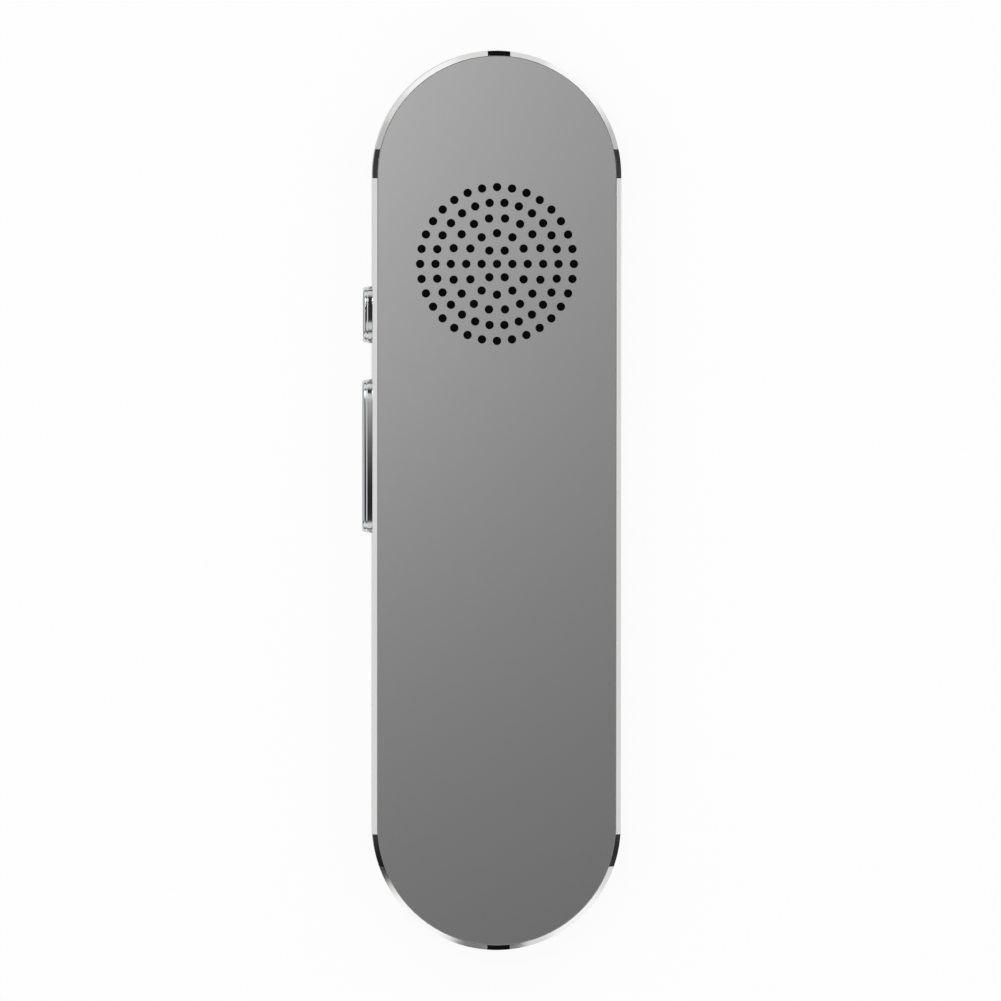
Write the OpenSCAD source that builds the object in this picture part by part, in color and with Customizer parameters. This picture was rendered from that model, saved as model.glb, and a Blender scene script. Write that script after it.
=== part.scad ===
// Hand-held voice translator: a slim bar with round ends, two flat covers in a side frame,
// a round speaker grille and two side keys.
// It lies on its back. The origin is the centre of the back cover's outer face, +Z is the front
// cover's normal, +Y points to the speaker end and the keys are on the -X side. Sizes in mm.

/* [Case] */
// Overall length
body_l = 137.5; // [136:0.5:140]
// Overall width, twice the radius of the round ends
body_w = 38; // [37.5:0.25:39]
// Overall thickness
body_t = 9; // [8.9:0.1:9.8]
// Wall thickness of the side frame
frame_wall = 1.6; // [1.4:0.1:1.8]
// Width of the side frame's bevels across
bevel = 0.72; // [0.6:0.02:0.8]
// Height of the side frame's bevels
bevel_h = 0.46; // [0.3:0.02:0.8]
// Thickness of each cover
cover_t = 0.6; // [0.5:0.05:0.7]
// How far a cover stands proud of the side frame
cover_proud = 0.1; // [0.05:0.05:0.2]
// Gap between a cover's edge and the side frame
cover_gap = 0.03; // [0.03:0.01:0.1]
// Width of the small bevel round a cover's outer edge
cover_edge = 0.1; // [0.05:0.05:0.2]
// Height of the small bevel round a cover's outer edge
cover_edge_h = 0.04; // [0.03:0.01:0.1]
// Thickness of the adhesive under each cover
glue_t = 0.1; // [0.05:0.05:0.15]
// Margin of the adhesive from both edges of its ledge
glue_margin = 0.1; // [0.05:0.05:0.2]

/* [Inserts] */
// Width of the top and bottom inserts
end_insert_w = 3.4; // [3:0.1:4.5]
// Offset of the top and bottom inserts from the centre line
end_insert_x = 0.3; // [-0.5:0.1:0.5]
// Length of the two upper side inserts
upper_insert_l = 4.4; // [3.5:0.1:5.5]
// Distance from the top end to the upper side inserts
upper_insert_end = 15.05; // [14:0.05:16]
// Length of the two lower side inserts
lower_insert_l = 4.9; // [4:0.1:6]
// Distance from the bottom end to the lower side inserts
lower_insert_end = 12.8; // [12:0.1:14]
// Gap between an insert and its groove
insert_gap = 0.02; // [0.01:0.01:0.05]

/* [Speaker] */
// Distance from the top end to the centre of the speaker and its grille
speaker_end = 32.55; // [31.5:0.05:33.5]
// Diameter of a grille hole
grille_hole_d = 1.3; // [0.9:0.05:1.5]
// Distance of the grille's outer ring of holes from the speaker's edge
grille_margin = 1.75; // [1.6:0.05:2.2]
// Gap between the speaker's holder and the chassis wall
speaker_room = 1.8; // [1.4:0.1:2.2]
// Gap between the speaker and the main board
speaker_lift = 0.25; // [0.15:0.05:0.4]
// Width of the speaker's flat front rim
rim_w = 0.9; // [0.7:0.1:1.1]
// Height of the front ring on the speaker's rim
front_ring_h = 0.32; // [0.2:0.02:0.4]
// Depth of the basket from its rim to its floor's underside
basket_h = 1.35; // [1.2:0.05:1.5]
// Thickness of the basket's sheet
basket_t = 0.4; // [0.3:0.05:0.5]
// Diameter of the basket's vents
vent_d = 2.2; // [1.8:0.1:2.4]
// Distance between a vent and the yoke
vent_edge = 0.6; // [0.4:0.1:0.8]
// Diameter of the magnet
magnet_d = 11.2; // [10:0.2:12]
// Thickness of the pole plate
pole_t = 0.6; // [0.4:0.1:0.7]
// How far the pole plate overhangs the magnet
pole_lip = 0.2; // [0.1:0.05:0.3]
// Wall and floor thickness of the yoke
yoke_t = 0.7; // [0.5:0.1:0.8]
// Air gap on each side of the voice coil
coil_gap = 0.3; // [0.25:0.05:0.4]
// Wall thickness of the voice coil
coil_wall = 0.45; // [0.35:0.05:0.5]
// Travel of the cone and the coil each way
cone_travel = 0.3; // [0.2:0.05:0.35]
// Gap between the cone and the pole plate at full travel
cone_gap = 0.25; // [0.15:0.05:0.35]
// Gap between the coil and the yoke's floor at full travel
coil_room = 0.45; // [0.3:0.05:0.6]
// Thickness of the cone and its dome
cone_t = 0.15; // [0.1:0.05:0.2]
// Rise of the cone from the coil to its lip
cone_rise = 0.3; // [0.2:0.05:0.35]
// Rise of the dome over the coil
dome_rise = 0.35; // [0.2:0.05:0.4]
// Width of the cone's lip under the surround
lip_w = 0.6; // [0.4:0.1:0.8]
// Width of the surround's roll
roll_w = 1.5; // [1.2:0.1:1.8]
// Rise of the surround's roll
roll_rise = 0.35; // [0.2:0.05:0.4]
// Thickness of the surround
surround_t = 0.08; // [0.05:0.01:0.1]
// Thickness of the dust mesh behind the grille
mesh_t = 0.1; // [0.05:0.01:0.15]
// Gap between the dust mesh and the front cover
mesh_gap = 0.05; // [0.02:0.01:0.08]
// Thickness of the foam gasket in front of the speaker
gasket_t = 0.5; // [0.4:0.05:0.6]
// Wall thickness of the speaker holder
holder_wall = 1; // [0.8:0.1:1.1]
// Clearance between the speaker and its holder
holder_gap = 0.1; // [0.05:0.05:0.15]
// Gap between the holder and the front cover
holder_play = 0.2; // [0.1:0.05:0.3]
// Wall thickness of the holder's foot
foot_wall = 1.2; // [1:0.1:1.4]
// Clearance between the foot and the vents above it
foot_gap = 0.05; // [0.05:0.05:0.3]
// Thickness of the holder's shelf
shelf_t = 0.5; // [0.4:0.05:0.6]

/* [Keys] */
// Length of the short key
short_key_l = 8.7; // [7:0.1:10]
// Distance from the top end to the short key's centre
short_key_end = 40.4; // [39.5:0.1:41.5]
// Length of the long key
long_key_l = 23.5; // [20:0.5:26]
// Distance between the two keys
key_spacing = 5.5; // [4.5:0.1:6.5]
// Height of the keys, twice the radius of their round ends
key_h = 4; // [3.4:0.1:4.2]
// How far the short key stands out of the side frame
short_key_proud = 1.5; // [1:0.1:2]
// How far the long key stands out of the side frame
long_key_proud = 1.6; // [1:0.1:2]
// Rounding of a key's outer edge
key_round = 0.45; // [0.2:0.05:0.5]
// Distance of the step round a key from its face
key_step_at = 0.6; // [0.5:0.05:0.75]
// Length of the step's slope
key_step_l = 0.15; // [0.1:0.05:0.2]
// Depth of the step
key_step = 0.08; // [0.05:0.01:0.12]
// Clearance round a key in its slot
key_gap = 0.1; // [0.06:0.02:0.2]
// Travel of the keys
key_travel = 0.3; // [0.2:0.05:0.35]
// Thickness of the flange that holds a key in
flange_t = 0.6; // [0.4:0.1:0.6]
// How far the flange reaches past the key's sides
flange_lip = 0.7; // [0.4:0.1:0.8]
// Gap between the flange and the side frame at rest
flange_gap = 0.05; // [0.03:0.01:0.1]
// Clearance round the flange in the chassis
window_gap = 0.3; // [0.2:0.05:0.4]
// Length of the nub that presses the switch
nub_l = 0.85; // [0.8:0.05:0.95]
// Width and height of the nub
nub_w = 1.2; // [1:0.1:1.4]

/* [Switches] */
// Length of a switch along the case
switch_l = 4.6; // [4:0.2:5]
// Depth of a switch across the case
switch_d = 2; // [1.8:0.1:2.2]
// Height of a switch
switch_h = 1.6; // [1.4:0.1:1.7]
// How far the plunger stands out of its switch
plunger_out = 0.75; // [0.6:0.05:0.8]
// How deep the plunger sits in its switch
plunger_in = 0.5; // [0.4:0.05:0.6]
// Width of the plunger along the case
plunger_w = 1.6; // [1.2:0.1:2]
// Height of the plunger
plunger_h = 0.8; // [0.6:0.1:0.9]
// Clearance round the plunger in its switch
plunger_gap = 0.05; // [0.03:0.01:0.1]
// Gap behind the plunger at full travel
pocket_room = 0.1; // [0.05:0.05:0.3]
// Length of the solder tab at each end of a switch
switch_tab_l = 0.6; // [0.4:0.1:0.8]
// Thickness of the solder tabs
switch_tab_t = 0.15; // [0.1:0.05:0.2]
// Clearance of the holder over the short key's switch
switch_gap = 0.15; // [0.1:0.05:0.2]
// Gap between a nub and its plunger at rest
contact_gap = 0.05; // [0.02:0.01:0.1]

/* [Chassis] */
// Wall thickness of the chassis
chassis_wall = 0.9; // [0.8:0.05:1]
// Floor thickness of the chassis
chassis_floor = 0.6; // [0.5:0.05:0.65]
// Clearance between the chassis and the side frame
chassis_gap = 0.1; // [0.05:0.05:0.15]
// Clearance between the chassis and each cover
chassis_play = 0.05; // [0.02:0.01:0.08]
// Height of the ribs at both ends of the battery
rib_h = 2.2; // [1.8:0.1:2.3]
// Thickness of those ribs
rib_t = 0.8; // [0.6:0.1:1]

/* [Screws] */
// Radius of the lugs that the screws hold
lug_r = 2.2; // [2:0.05:2.3]
// Thickness of the side frame's lugs
lug_t = 1.2; // [1:0.05:1.25]
// Distance of the end screws from the side frame's inner face
lug_inset = 3.2; // [3.1:0.05:3.5]
// Clearance of the chassis round the lugs
lug_room = 0.15; // [0.1:0.05:0.2]
// Angle of the main board's end screws from the cross line
main_screw_angle = 45; // [42:1:48]
// Angle of the charging board's screws from the cross line
charge_screw_angle = 30; // [28:1:31]
// Shank diameter of the screws
screw_d = 1.4; // [1.2:0.1:1.6]
// Head diameter of the screws
head_d = 2.4; // [2.2:0.1:2.6]
// Head height of the screws
head_h = 0.6; // [0.4:0.1:0.8]
// Radial clearance of the shanks in the boards
screw_gap = 0.1; // [0.05:0.05:0.2]
// Radial clearance of the threads as drawn
thread_gap = 0.02; // [0.01:0.01:0.03]
// Distance of the lower main board screws from the board's long edges
side_screw_inset = 2.5; // [2.3:0.1:2.7]
// Distance of the lower main board screws from the board's lower edge
side_screw_edge = 3; // [2.6:0.1:3.4]
// Radius of the chassis bosses under them
boss_r = 1.9; // [1.6:0.1:2.1]

/* [Boards] */
// Distance of the main board's lower edge from the long key's centre
board_tail = 14.2; // [13:0.2:15.4]
// Thickness of both boards
board_t = 0.8; // [0.6:0.1:0.9]
// Clearance between a board's edge and the chassis
board_gap = 0.4; // [0.3:0.05:0.5]
// Margin of the charging board's tongue on each side of the port
tongue_margin = 0.55; // [0.3:0.05:0.8]
// Distance of the charging board's upper edge from its screws
charge_screw_edge = 2.45; // [2.2:0.05:2.8]
// Gap between the charging board and the microphone's cradle
cradle_gap = 0.35; // [0.2:0.05:0.5]
// Length of the radio shield can
can_l = 13; // [12:0.5:14]
// Width of the radio shield can
can_w = 16; // [15:0.5:16.5]
// Height of the radio shield can
can_h = 1.7; // [1.5:0.1:1.8]
// Sheet thickness of the radio shield can
can_t = 0.15; // [0.1:0.05:0.2]
// Width of the flex cable
flex_w = 7; // [6:0.5:7.5]
// Thickness of the flex cable
flex_t = 0.15; // [0.1:0.01:0.2]
// Distance of the flex cable from the centre line
flex_x = 4; // [3.8:0.1:4.2]

/* [Charging port] */
// Width of the micro-USB shell
usb_w = 7.5; // [7.3:0.1:7.7]
// Height of the micro-USB shell
usb_h = 2.5; // [2.4:0.1:2.7]
// Length of the micro-USB shell
usb_l = 5.6; // [5:0.1:5.8]
// Sheet thickness of the shell
usb_wall = 0.3; // [0.2:0.05:0.35]
// Depth of the shell's mouth below the case's end
usb_recess = 0.4; // [0.3:0.1:0.8]
// Clearance round the shell in the case
usb_gap = 0.25; // [0.15:0.05:0.3]

/* [Microphone] */
// Diameter of the microphone capsule
mic_d = 4; // [3.6:0.1:4.2]
// Length of the microphone capsule
mic_l = 1.4; // [1.2:0.1:1.5]
// Wall thickness of its rubber boot
boot_wall = 0.6; // [0.5:0.05:0.65]
// Diameter of the sound hole
sound_hole_d = 1; // [0.8:0.1:1.2]
// Wall thickness of the cradle beside the boot
cradle_wall = 0.5; // [0.4:0.05:0.6]
// Clearance between the boot and its cradle
cradle_fit = 0.05; // [0.03:0.01:0.1]
// Gap between the cradle and the charging board's tongue
tongue_gap = 0.2; // [0.1:0.05:0.4]

/* [Indicator] */
// Diameter of the light guide
guide_d = 1.5; // [1.2:0.1:2]
// Radial clearance of the light guide
guide_gap = 0.1; // [0.05:0.05:0.15]
// Length of the light guide's flange
guide_flange_l = 0.5; // [0.4:0.05:0.6]
// Length of the status LED along the case
led_l = 1; // [0.8:0.1:1.2]
// Width of the status LED
led_w = 3; // [2.4:0.1:3.2]

/* [Battery] */
// Thickness of the battery cell
battery_t = 5.5; // [4.5:0.1:5.7]
// Gap between the battery cell and the chassis wall
battery_side = 1.4; // [1.2:0.1:1.8]
// Gap between the battery and the ribs at its ends
battery_gap = 0.3; // [0.2:0.05:0.4]
// Length of the cell's sealed terrace
terrace_l = 4.2; // [3.6:0.1:4.6]
// Thickness of the terrace
terrace_t = 0.6; // [0.4:0.1:0.8]
// Thickness of the protection board on the terrace
protect_t = 0.6; // [0.5:0.1:0.8]
// Thickness of the tape under the battery
tape_t = 0.1; // [0.05:0.05:0.15]
// Radius of the battery's wires
power_wire_r = 0.35; // [0.25:0.05:0.4]
// Radius of the speaker's and the microphone's wires
signal_wire_r = 0.22; // [0.15:0.01:0.25]

/* [Hidden] */
$fn = 96;

// Holes in each ring of the grille, from the inside out, round one centre hole
RING_HOLES = [6, 12, 18, 26, 32];

// A cut runs this far past the faces that it opens
past = 1;
// A rib or web is rooted this deep in the wall that carries it
root = 0.3;
// A wire's drawn end stops this short of what it is soldered to
solder_gap = 0.1;
// Clearance between pieces that are pressed together
press_gap = 0.02;

// Case radii, from the centre line of the straight sides
end_y = body_l / 2;
arc_y = (body_l - body_w) / 2;
r_out = body_w / 2;
r_seat = r_out - bevel;
r_cover = r_seat - cover_gap;
r_in = r_out - frame_wall;
r_chassis = r_in - chassis_gap;
r_room = r_chassis - chassis_wall;
r_board = r_room - board_gap;
lug_reach = r_in - lug_inset;
side_screw_x = r_board - side_screw_inset;

// Case heights
mid_z = body_t / 2;
ledge_z = cover_t + glue_t;
room_top = body_t - cover_t;
floor_z = cover_t + chassis_play;
floor_top = floor_z + chassis_floor;
chassis_top = room_top - chassis_play;
lug_top = ledge_z + lug_t;

// Side inserts, each from its lower end
upper_insert_y = end_y - upper_insert_end - upper_insert_l;
lower_insert_y = -end_y + lower_insert_end;

// Keys, switches and main board: the switches' middle is level with the keys'
short_key_y = end_y - short_key_end;
long_key_y = short_key_y - short_key_l / 2 - key_spacing - long_key_l / 2;
flange_x = r_in - flange_gap;
nub_x = flange_x - flange_t - nub_l;
plunger_x = nub_x - contact_gap;
switch_x = plunger_x - plunger_out;
board_top = mid_z - switch_h / 2;
board_z = board_top - board_t;
board_y0 = long_key_y - board_tail;

// Speaker heights: it hangs under the front cover and clears the main board
gasket_z = room_top - mesh_gap - mesh_t - gasket_t;
ring_z = gasket_z - front_ring_h;
rim_z = ring_z - surround_t;
basket_z = rim_z - basket_h;
cone_z = rim_z - cone_t - cone_rise;
yoke_z = board_top + speaker_lift;
magnet_z = yoke_z + yoke_t;
pole_z = cone_z - cone_travel - cone_gap - pole_t;
magnet_h = pole_z - magnet_z;
coil_h = cone_z - magnet_z - cone_travel - coil_room;

// Speaker radii
speaker_y = end_y - speaker_end;
speaker_r = r_room - speaker_room - holder_wall - holder_gap;
ring_pitch = (speaker_r - grille_margin) / len(RING_HOLES);
pole_r = magnet_d / 2 + pole_lip;
coil_r = pole_r + coil_gap;
yoke_r = coil_r + coil_wall + coil_gap;
yoke_edge = yoke_r + yoke_t;
vent_reach = yoke_edge + vent_edge + vent_d / 2;
foot_r = vent_reach + vent_d / 2 + foot_gap;
rim_r = speaker_r - rim_w;
roll_r1 = rim_r - holder_gap;
roll_r0 = roll_r1 - roll_w;

// Speaker leads
lead_x = 1;
lead_inset = 1.4;
lead_out = 3;
lead_notch_w = 3.6;

// Charging port
usb_mouth = end_y - usb_recess;
usb_room = usb_l - usb_wall;
tongue_w = usb_w + 2 * tongue_margin;

// Microphone, measured from the centre of the bottom end; its cradle clears the board's tongue
boot_r = mic_d / 2 + boot_wall;
boot_top = r_room - 0.3;
boot_front = 0.2;
boot_back = 0.1;
mic_back = boot_top - boot_front - mic_l;
boot_base = mic_back - boot_back;
cradle_r = boot_r + cradle_wall;
mic_angle = acos((tongue_w / 2 + tongue_gap) / norm([boot_base, cradle_r])) - atan(cradle_r / boot_base);

// Charging board, round its screws and clear of the cradle
charge_top = mid_z - usb_h / 2;
charge_z = charge_top - board_t;
charge_y1 = -arc_y - lug_reach * sin(charge_screw_angle) + charge_screw_edge;
charge_y0 = -arc_y - boot_base * sin(mic_angle) + cradle_r * cos(mic_angle) + cradle_gap;

// Battery bay, between the two ribs
rib_upper_y = board_y0 - battery_gap - rib_t;
rib_lower_y = charge_y1 + battery_gap;
battery_y1 = rib_upper_y - battery_gap;
battery_y0 = rib_lower_y + rib_t + battery_gap;
cell_y1 = battery_y1 - terrace_l;
battery_z = floor_top + tape_t;
battery_top = battery_z + battery_t;
battery_w = 2 * (r_room - battery_side);
protect_z = battery_z + battery_t / 2;

// Parts on the main board: a column of chips beside the long key's switch, then the shield can,
// both midway between the sockets and the speaker's holder
part_gap = 1.5;
column_gap = 1.6;
can_gap = 2;
flash_w = 5;
flash_l = 6;
power_w = 4;
amplifier_w = 3;
amplifier_x = 3;
bluetooth_w = 7;
bluetooth_x = -2;
crystal_w = 2.5;
crystal_l = 3.2;
crystal_x = 5;
capacitor_l = 1;
capacitor_w = 0.5;
capacitor_step = 1.6;
antenna_l = 5;
antenna_w = 2;
antenna_x = -4.5;
antenna_edge = 3;
column_x = flash_w / 2 + column_gap + switch_d - switch_x;
can_x = column_x + flash_w / 2 + can_gap + can_w / 2;

// Sockets at the edges of the boards
socket_w = 5.4;
socket_l = 4;
socket_h = 2;
socket_wall = 0.5;
socket_x = column_x + can_gap;
socket_y = board_y0 + 0.6;
plug_l = 3.4;
plug_wall = 0.6;
plug_out = 0.2;
plug_y = socket_y - plug_out;
flex_socket_l = 2.6;
flex_socket_h = 1;
flex_socket_y = board_y0 + 1;
charge_socket_y = charge_y1 - 0.4 - flex_socket_l;
can_y = (socket_y + socket_l + speaker_y - foot_r - foot_wall) / 2;
can_y1 = can_y + can_l / 2;
column_y0 = can_y - (power_w + flash_l + capacitor_w) / 2 - part_gap;

// Light guide and LED
guide_lip = 0.35;
guide_play = 0.1;
guide_flush = 0.05;
guide_y = arc_y + r_room - guide_play - guide_flange_l;
led_y = guide_y - guide_play - led_l;

// Moulded back and tongue of the charging port
plug_tongue_l = 3.6;
plug_tongue_t = 0.6;
plug_tongue_z = 0.35;
insulator_l = 1.2;
contact_pitch = 0.65;
contact_w = 0.3;
contact_t = 0.1;
plug_tongue_w = 5 * contact_pitch + 0.55;

// ---------------------------------------------------------------- shared shapes

// Flat shape with straight sides and round ends, r from its centre line
module track_2d(r) {
    square([2 * r, 2 * arc_y], center = true);
    for (s = [-1, 1])
        translate([0, s * arc_y])
            circle(r);
}

module track(r, z0, z1) {
    translate([0, 0, z0])
        linear_extrude(z1 - z0)
            track_2d(r);
}

module track_ring(r0, r1, z0, z1) {
    translate([0, 0, z0])
        linear_extrude(z1 - z0)
            difference() {
                track_2d(r1);
                track_2d(r0);
            }
}

// Carries a section, drawn as radius and height, round straight sides and two half turns
// whose centres lie at y = c and y = -c
module sweep(c) {
    for (s = [0, 180])
        rotate(s)
            translate([0, c, 0])
                rotate_extrude(angle = 180)
                    children();
    rotate([90, 0, 0])
        linear_extrude(2 * c, center = true) {
            children();
            mirror([1, 0])
                children();
        }
}

// Ring about Z
module ring(r0, r1, z0, z1) {
    translate([0, 0, z0])
        difference() {
            cylinder(h = z1 - z0, r = r1);
            translate([0, 0, -past])
                cylinder(h = z1 - z0 + 2 * past, r = r0);
        }
}

// Block of size s whose base is centred on p
module block(s, p) {
    translate([p.x - s.x / 2, p.y - s.y / 2, p.z])
        cube(s);
}

// Moulded chip of size s at p, with the dimple that marks its first pin
module chip(s, p) {
    dimple_r = 0.25;
    dimple_in = 0.7;
    dimple_depth = 0.05;
    difference() {
        block(s, p);
        translate([p.x - s.x / 2 + dimple_in, p.y + s.y / 2 - dimple_in, p.z + s.z - dimple_depth])
            cylinder(h = past, r = dimple_r, $fn = 24);
    }
}

// Rounded rectangle of w by h with corner radius r
module rounded(w, h, r) {
    square([w - 2 * r, h], center = true);
    square([w, h - 2 * r], center = true);
    for (x = [-1, 1], y = [-1, 1])
        translate([x * (w / 2 - r), y * (h / 2 - r)])
            circle(r);
}

// Moves its children from the speaker's own axis to its place
module at_speaker() {
    translate([0, speaker_y, 0])
        children();
}

// Turns its children about the centre of a round end: end 1 is the top, end -1 the bottom
module at_end(end, angle) {
    translate([0, end * arc_y, 0])
        rotate(end > 0 ? angle : -angle)
            children();
}

// Both mirror-image places of a pair of end screws
module each_end_screw(end, angle) {
    for (a = [angle, 180 - angle])
        at_end(end, a)
            children();
}

// Point of a smooth curve from p0 to p3 that leaves towards p1 and arrives from p2
function curve_point(p, t) =
    pow(1 - t, 3) * p[0] + 3 * pow(1 - t, 2) * t * p[1] + 3 * (1 - t) * t * t * p[2] + t * t * t * p[3];
function curve(p, n) = [for (i = [0 : n]) curve_point(p, i / n)];
function unit(v) = v / norm(v);

// Round wire of radius r along a route that never runs along X
module wire(route, r) {
    sides = 8;
    last = len(route) - 1;
    points = [
        for (i = [0 : last])
            let (ahead = unit(route[min(i + 1, last)] - route[max(i - 1, 0)]),
                 up = unit(cross([1, 0, 0], ahead)),
                 side = cross(up, ahead))
            for (k = [0 : sides - 1])
                route[i] + r * (cos(k * 360 / sides) * side + sin(k * 360 / sides) * up)
    ];
    walls = [
        for (i = [0 : last - 1], k = [0 : sides - 1])
            let (j = (k + 1) % sides)
            [i * sides + k, i * sides + j, (i + 1) * sides + j, (i + 1) * sides + k]
    ];
    start_cap = [for (k = [sides - 1 : -1 : 0]) k];
    end_cap = [for (k = [0 : sides - 1]) last * sides + k];
    polyhedron(points, concat([start_cap], walls, [end_cap]));
}

// ---------------------------------------------------------------- case

// Cover lying with its inner face at z = 0
module cover() {
    sweep(arc_y)
        polygon([
            [0, 0],
            [r_cover, 0],
            [r_cover, cover_t - cover_edge_h],
            [r_cover - cover_edge, cover_t],
            [0, cover_t]
        ]);
}

module grille_holes() {
    at_speaker() {
        cylinder(h = body_t + past, d = grille_hole_d);
        for (n = [0 : len(RING_HOLES) - 1], k = [1 : RING_HOLES[n]])
            rotate(k * 360 / RING_HOLES[n])
                translate([(n + 1) * ring_pitch, 0, 0])
                    cylinder(h = body_t + past, d = grille_hole_d);
    }
}

module front_cover() {
    color("#908e8d")
        difference() {
            translate([0, 0, room_top])
                cover();
            grille_holes();
        }
}

module back_cover() {
    color("#908e8d")
        translate([0, 0, cover_t])
            mirror([0, 0, 1])
                cover();
}

// Section of the side frame outside the covers' seats
module rim_section() {
    polygon([
        [r_seat, cover_proud],
        [r_out, cover_proud + bevel_h],
        [r_out, body_t - cover_proud - bevel_h],
        [r_seat, body_t - cover_proud]
    ]);
}

module frame_section() {
    rim_section();
    translate([r_in, ledge_z])
        square([r_seat - r_in, body_t - 2 * ledge_z]);
}

// Slab across the case from y0 to y1, on one side of the centre line or on both
module side_window(side, y0, y1) {
    translate([side < 0 ? -body_w : 0, y0, -past])
        cube([body_w, y1 - y0, body_t + 2 * past]);
}

// Slab along the case over one end, w wide
module end_window(end, w) {
    translate([end_insert_x - w / 2, end > 0 ? 0 : -body_l, -past])
        cube([w, body_l, body_t + 2 * past]);
}

module grooves() {
    g = insert_gap;
    difference() {
        union() {
            for (end = [-1, 1])
                end_window(end, end_insert_w + 2 * g);
            for (side = [-1, 1]) {
                side_window(side, upper_insert_y - g, upper_insert_y + upper_insert_l + g);
                side_window(side, lower_insert_y - g, lower_insert_y + lower_insert_l + g);
            }
        }
        track(r_seat, -2 * past, body_t + 2 * past);
    }
}

// Opening for the charging port, from outside the case to inside the chassis
module port_opening() {
    corner = 0.8;
    translate([0, -arc_y, mid_z])
        rotate([90, 0, 0])
            translate([0, 0, r_board - past])
                linear_extrude(r_out + 2 * past - r_board)
                    rounded(usb_w + 2 * usb_gap, usb_h + 2 * usb_gap, corner);
}

// Radial hole of radius r in the bottom end for the microphone
module sound_hole(r, r0, r1) {
    at_end(-1, mic_angle)
        translate([r0, 0, mid_z])
            rotate([0, 90, 0])
                cylinder(h = r1 - r0, r = r);
}

module guide_hole() {
    translate([end_insert_x, arc_y + r_board, mid_z])
        rotate([-90, 0, 0])
            cylinder(h = r_out + past - r_board, r = guide_d / 2 + guide_gap);
}

// Slot of a key through the left wall
module key_slot(y, l) {
    translate([-r_room, y, mid_z])
        rotate([0, -90, 0])
            linear_extrude(frame_wall + chassis_wall + past) {
                square([key_h + 2 * key_gap, l - key_h], center = true);
                for (s = [-1, 1])
                    translate([0, s * (l - key_h) / 2])
                        circle(key_h / 2 + key_gap);
            }
}

// Radial ear with a round nose, from the lug's centre out to radius r1
module ear(r, r1, z0, z1) {
    translate([lug_reach, 0, z0])
        cylinder(h = z1 - z0, r = r);
    translate([lug_reach, -r, z0])
        cube([r1 - lug_reach, 2 * r, z1 - z0]);
}

module each_lug() {
    each_end_screw(1, main_screw_angle)
        children();
    each_end_screw(-1, charge_screw_angle)
        children();
}

module side_frame() {
    color("#d9dadb")
        difference() {
            union() {
                sweep(arc_y)
                    frame_section();
                each_lug()
                    ear(lug_r, r_in + root, ledge_z, lug_top);
            }
            grooves();
            port_opening();
            sound_hole(sound_hole_d / 2, r_room, r_out + past);
            guide_hole();
            key_slot(short_key_y, short_key_l);
            key_slot(long_key_y, long_key_l);
            each_lug()
                translate([lug_reach, 0, 0])
                    cylinder(h = body_t, r = screw_d / 2 + thread_gap);
        }
}

// Part of the rim inside its child, as an insert
module insert_piece() {
    intersection() {
        sweep(arc_y)
            rim_section();
        children();
    }
}

module top_insert() {
    color("#151515")
        difference() {
            insert_piece()
                end_window(1, end_insert_w);
            guide_hole();
        }
}

module bottom_insert() {
    color("#151515")
        difference() {
            insert_piece()
                end_window(-1, end_insert_w);
            port_opening();
        }
}

module side_insert(side, y, l) {
    color("#3a3b3c")
        insert_piece()
            side_window(side, y, y + l);
}

module upper_left_insert() {
    side_insert(-1, upper_insert_y, upper_insert_l);
}

module upper_right_insert() {
    side_insert(1, upper_insert_y, upper_insert_l);
}

module lower_left_insert() {
    side_insert(-1, lower_insert_y, lower_insert_l);
}

module lower_right_insert() {
    side_insert(1, lower_insert_y, lower_insert_l);
}

module front_cover_adhesive() {
    color("black")
        track_ring(r_in + glue_margin, r_cover - glue_margin, room_top - glue_t, room_top);
}

module back_cover_adhesive() {
    color("black")
        track_ring(r_in + glue_margin, r_cover - glue_margin, cover_t, ledge_z);
}

// ---------------------------------------------------------------- keys and switches

// Key whose pill-shaped face looks to -X, with its flange and nub behind the wall. Its section
// runs from the flange out to a slim step and a rounded face.
module key(y, l, proud) {
    inner = flange_x - flange_t;
    outer = r_out + proud;
    r = key_h / 2;
    face_r = r - key_step;
    step_z = outer - key_step_at;
    color("#c9cbcd")
        translate([0, y, mid_z])
            rotate([0, -90, 0]) {
                sweep(l / 2 - r) {
                    translate([0, inner])
                        square([r + flange_lip, flange_t]);
                    polygon([
                        [0, inner],
                        [r, inner],
                        [r, step_z - key_step_l],
                        [face_r, step_z],
                        [face_r, outer - key_round],
                        [0, outer - key_round]
                    ]);
                    translate([0, step_z])
                        square([face_r - key_round, key_step_at]);
                    translate([face_r - key_round, outer - key_round])
                        circle(key_round);
                }
                block([nub_w, nub_w, nub_l + root], [0, 0, nub_x]);
            }
}

module short_key() {
    key(short_key_y, short_key_l, short_key_proud);
}

module long_key() {
    key(long_key_y, long_key_l, long_key_proud);
}

// Housing of a side-push switch with a pocket for its plunger and a solder tab at each end
module switch_housing(y) {
    pocket = plunger_in + key_travel + pocket_room;
    g = plunger_gap;
    x = -switch_x + switch_d / 2;
    color("#2b2b2e")
        difference() {
            union() {
                block([switch_d, switch_l, switch_h], [x, y, board_top]);
                block([switch_d / 2, switch_l + 2 * switch_tab_l, switch_tab_t], [x, y, board_top]);
            }
            block([2 * pocket, plunger_w + 2 * g, plunger_h + 2 * g],
                  [-switch_x, y, mid_z - plunger_h / 2 - g]);
        }
}

module switch_plunger(y) {
    color("#e8e4da")
        block([plunger_out + plunger_in, plunger_w, plunger_h],
              [-plunger_x + (plunger_out + plunger_in) / 2, y, mid_z - plunger_h / 2]);
}

module short_key_switch() {
    switch_housing(short_key_y);
}

module short_switch_plunger() {
    switch_plunger(short_key_y);
}

module long_key_switch() {
    switch_housing(long_key_y);
}

module long_switch_plunger() {
    switch_plunger(long_key_y);
}

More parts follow.
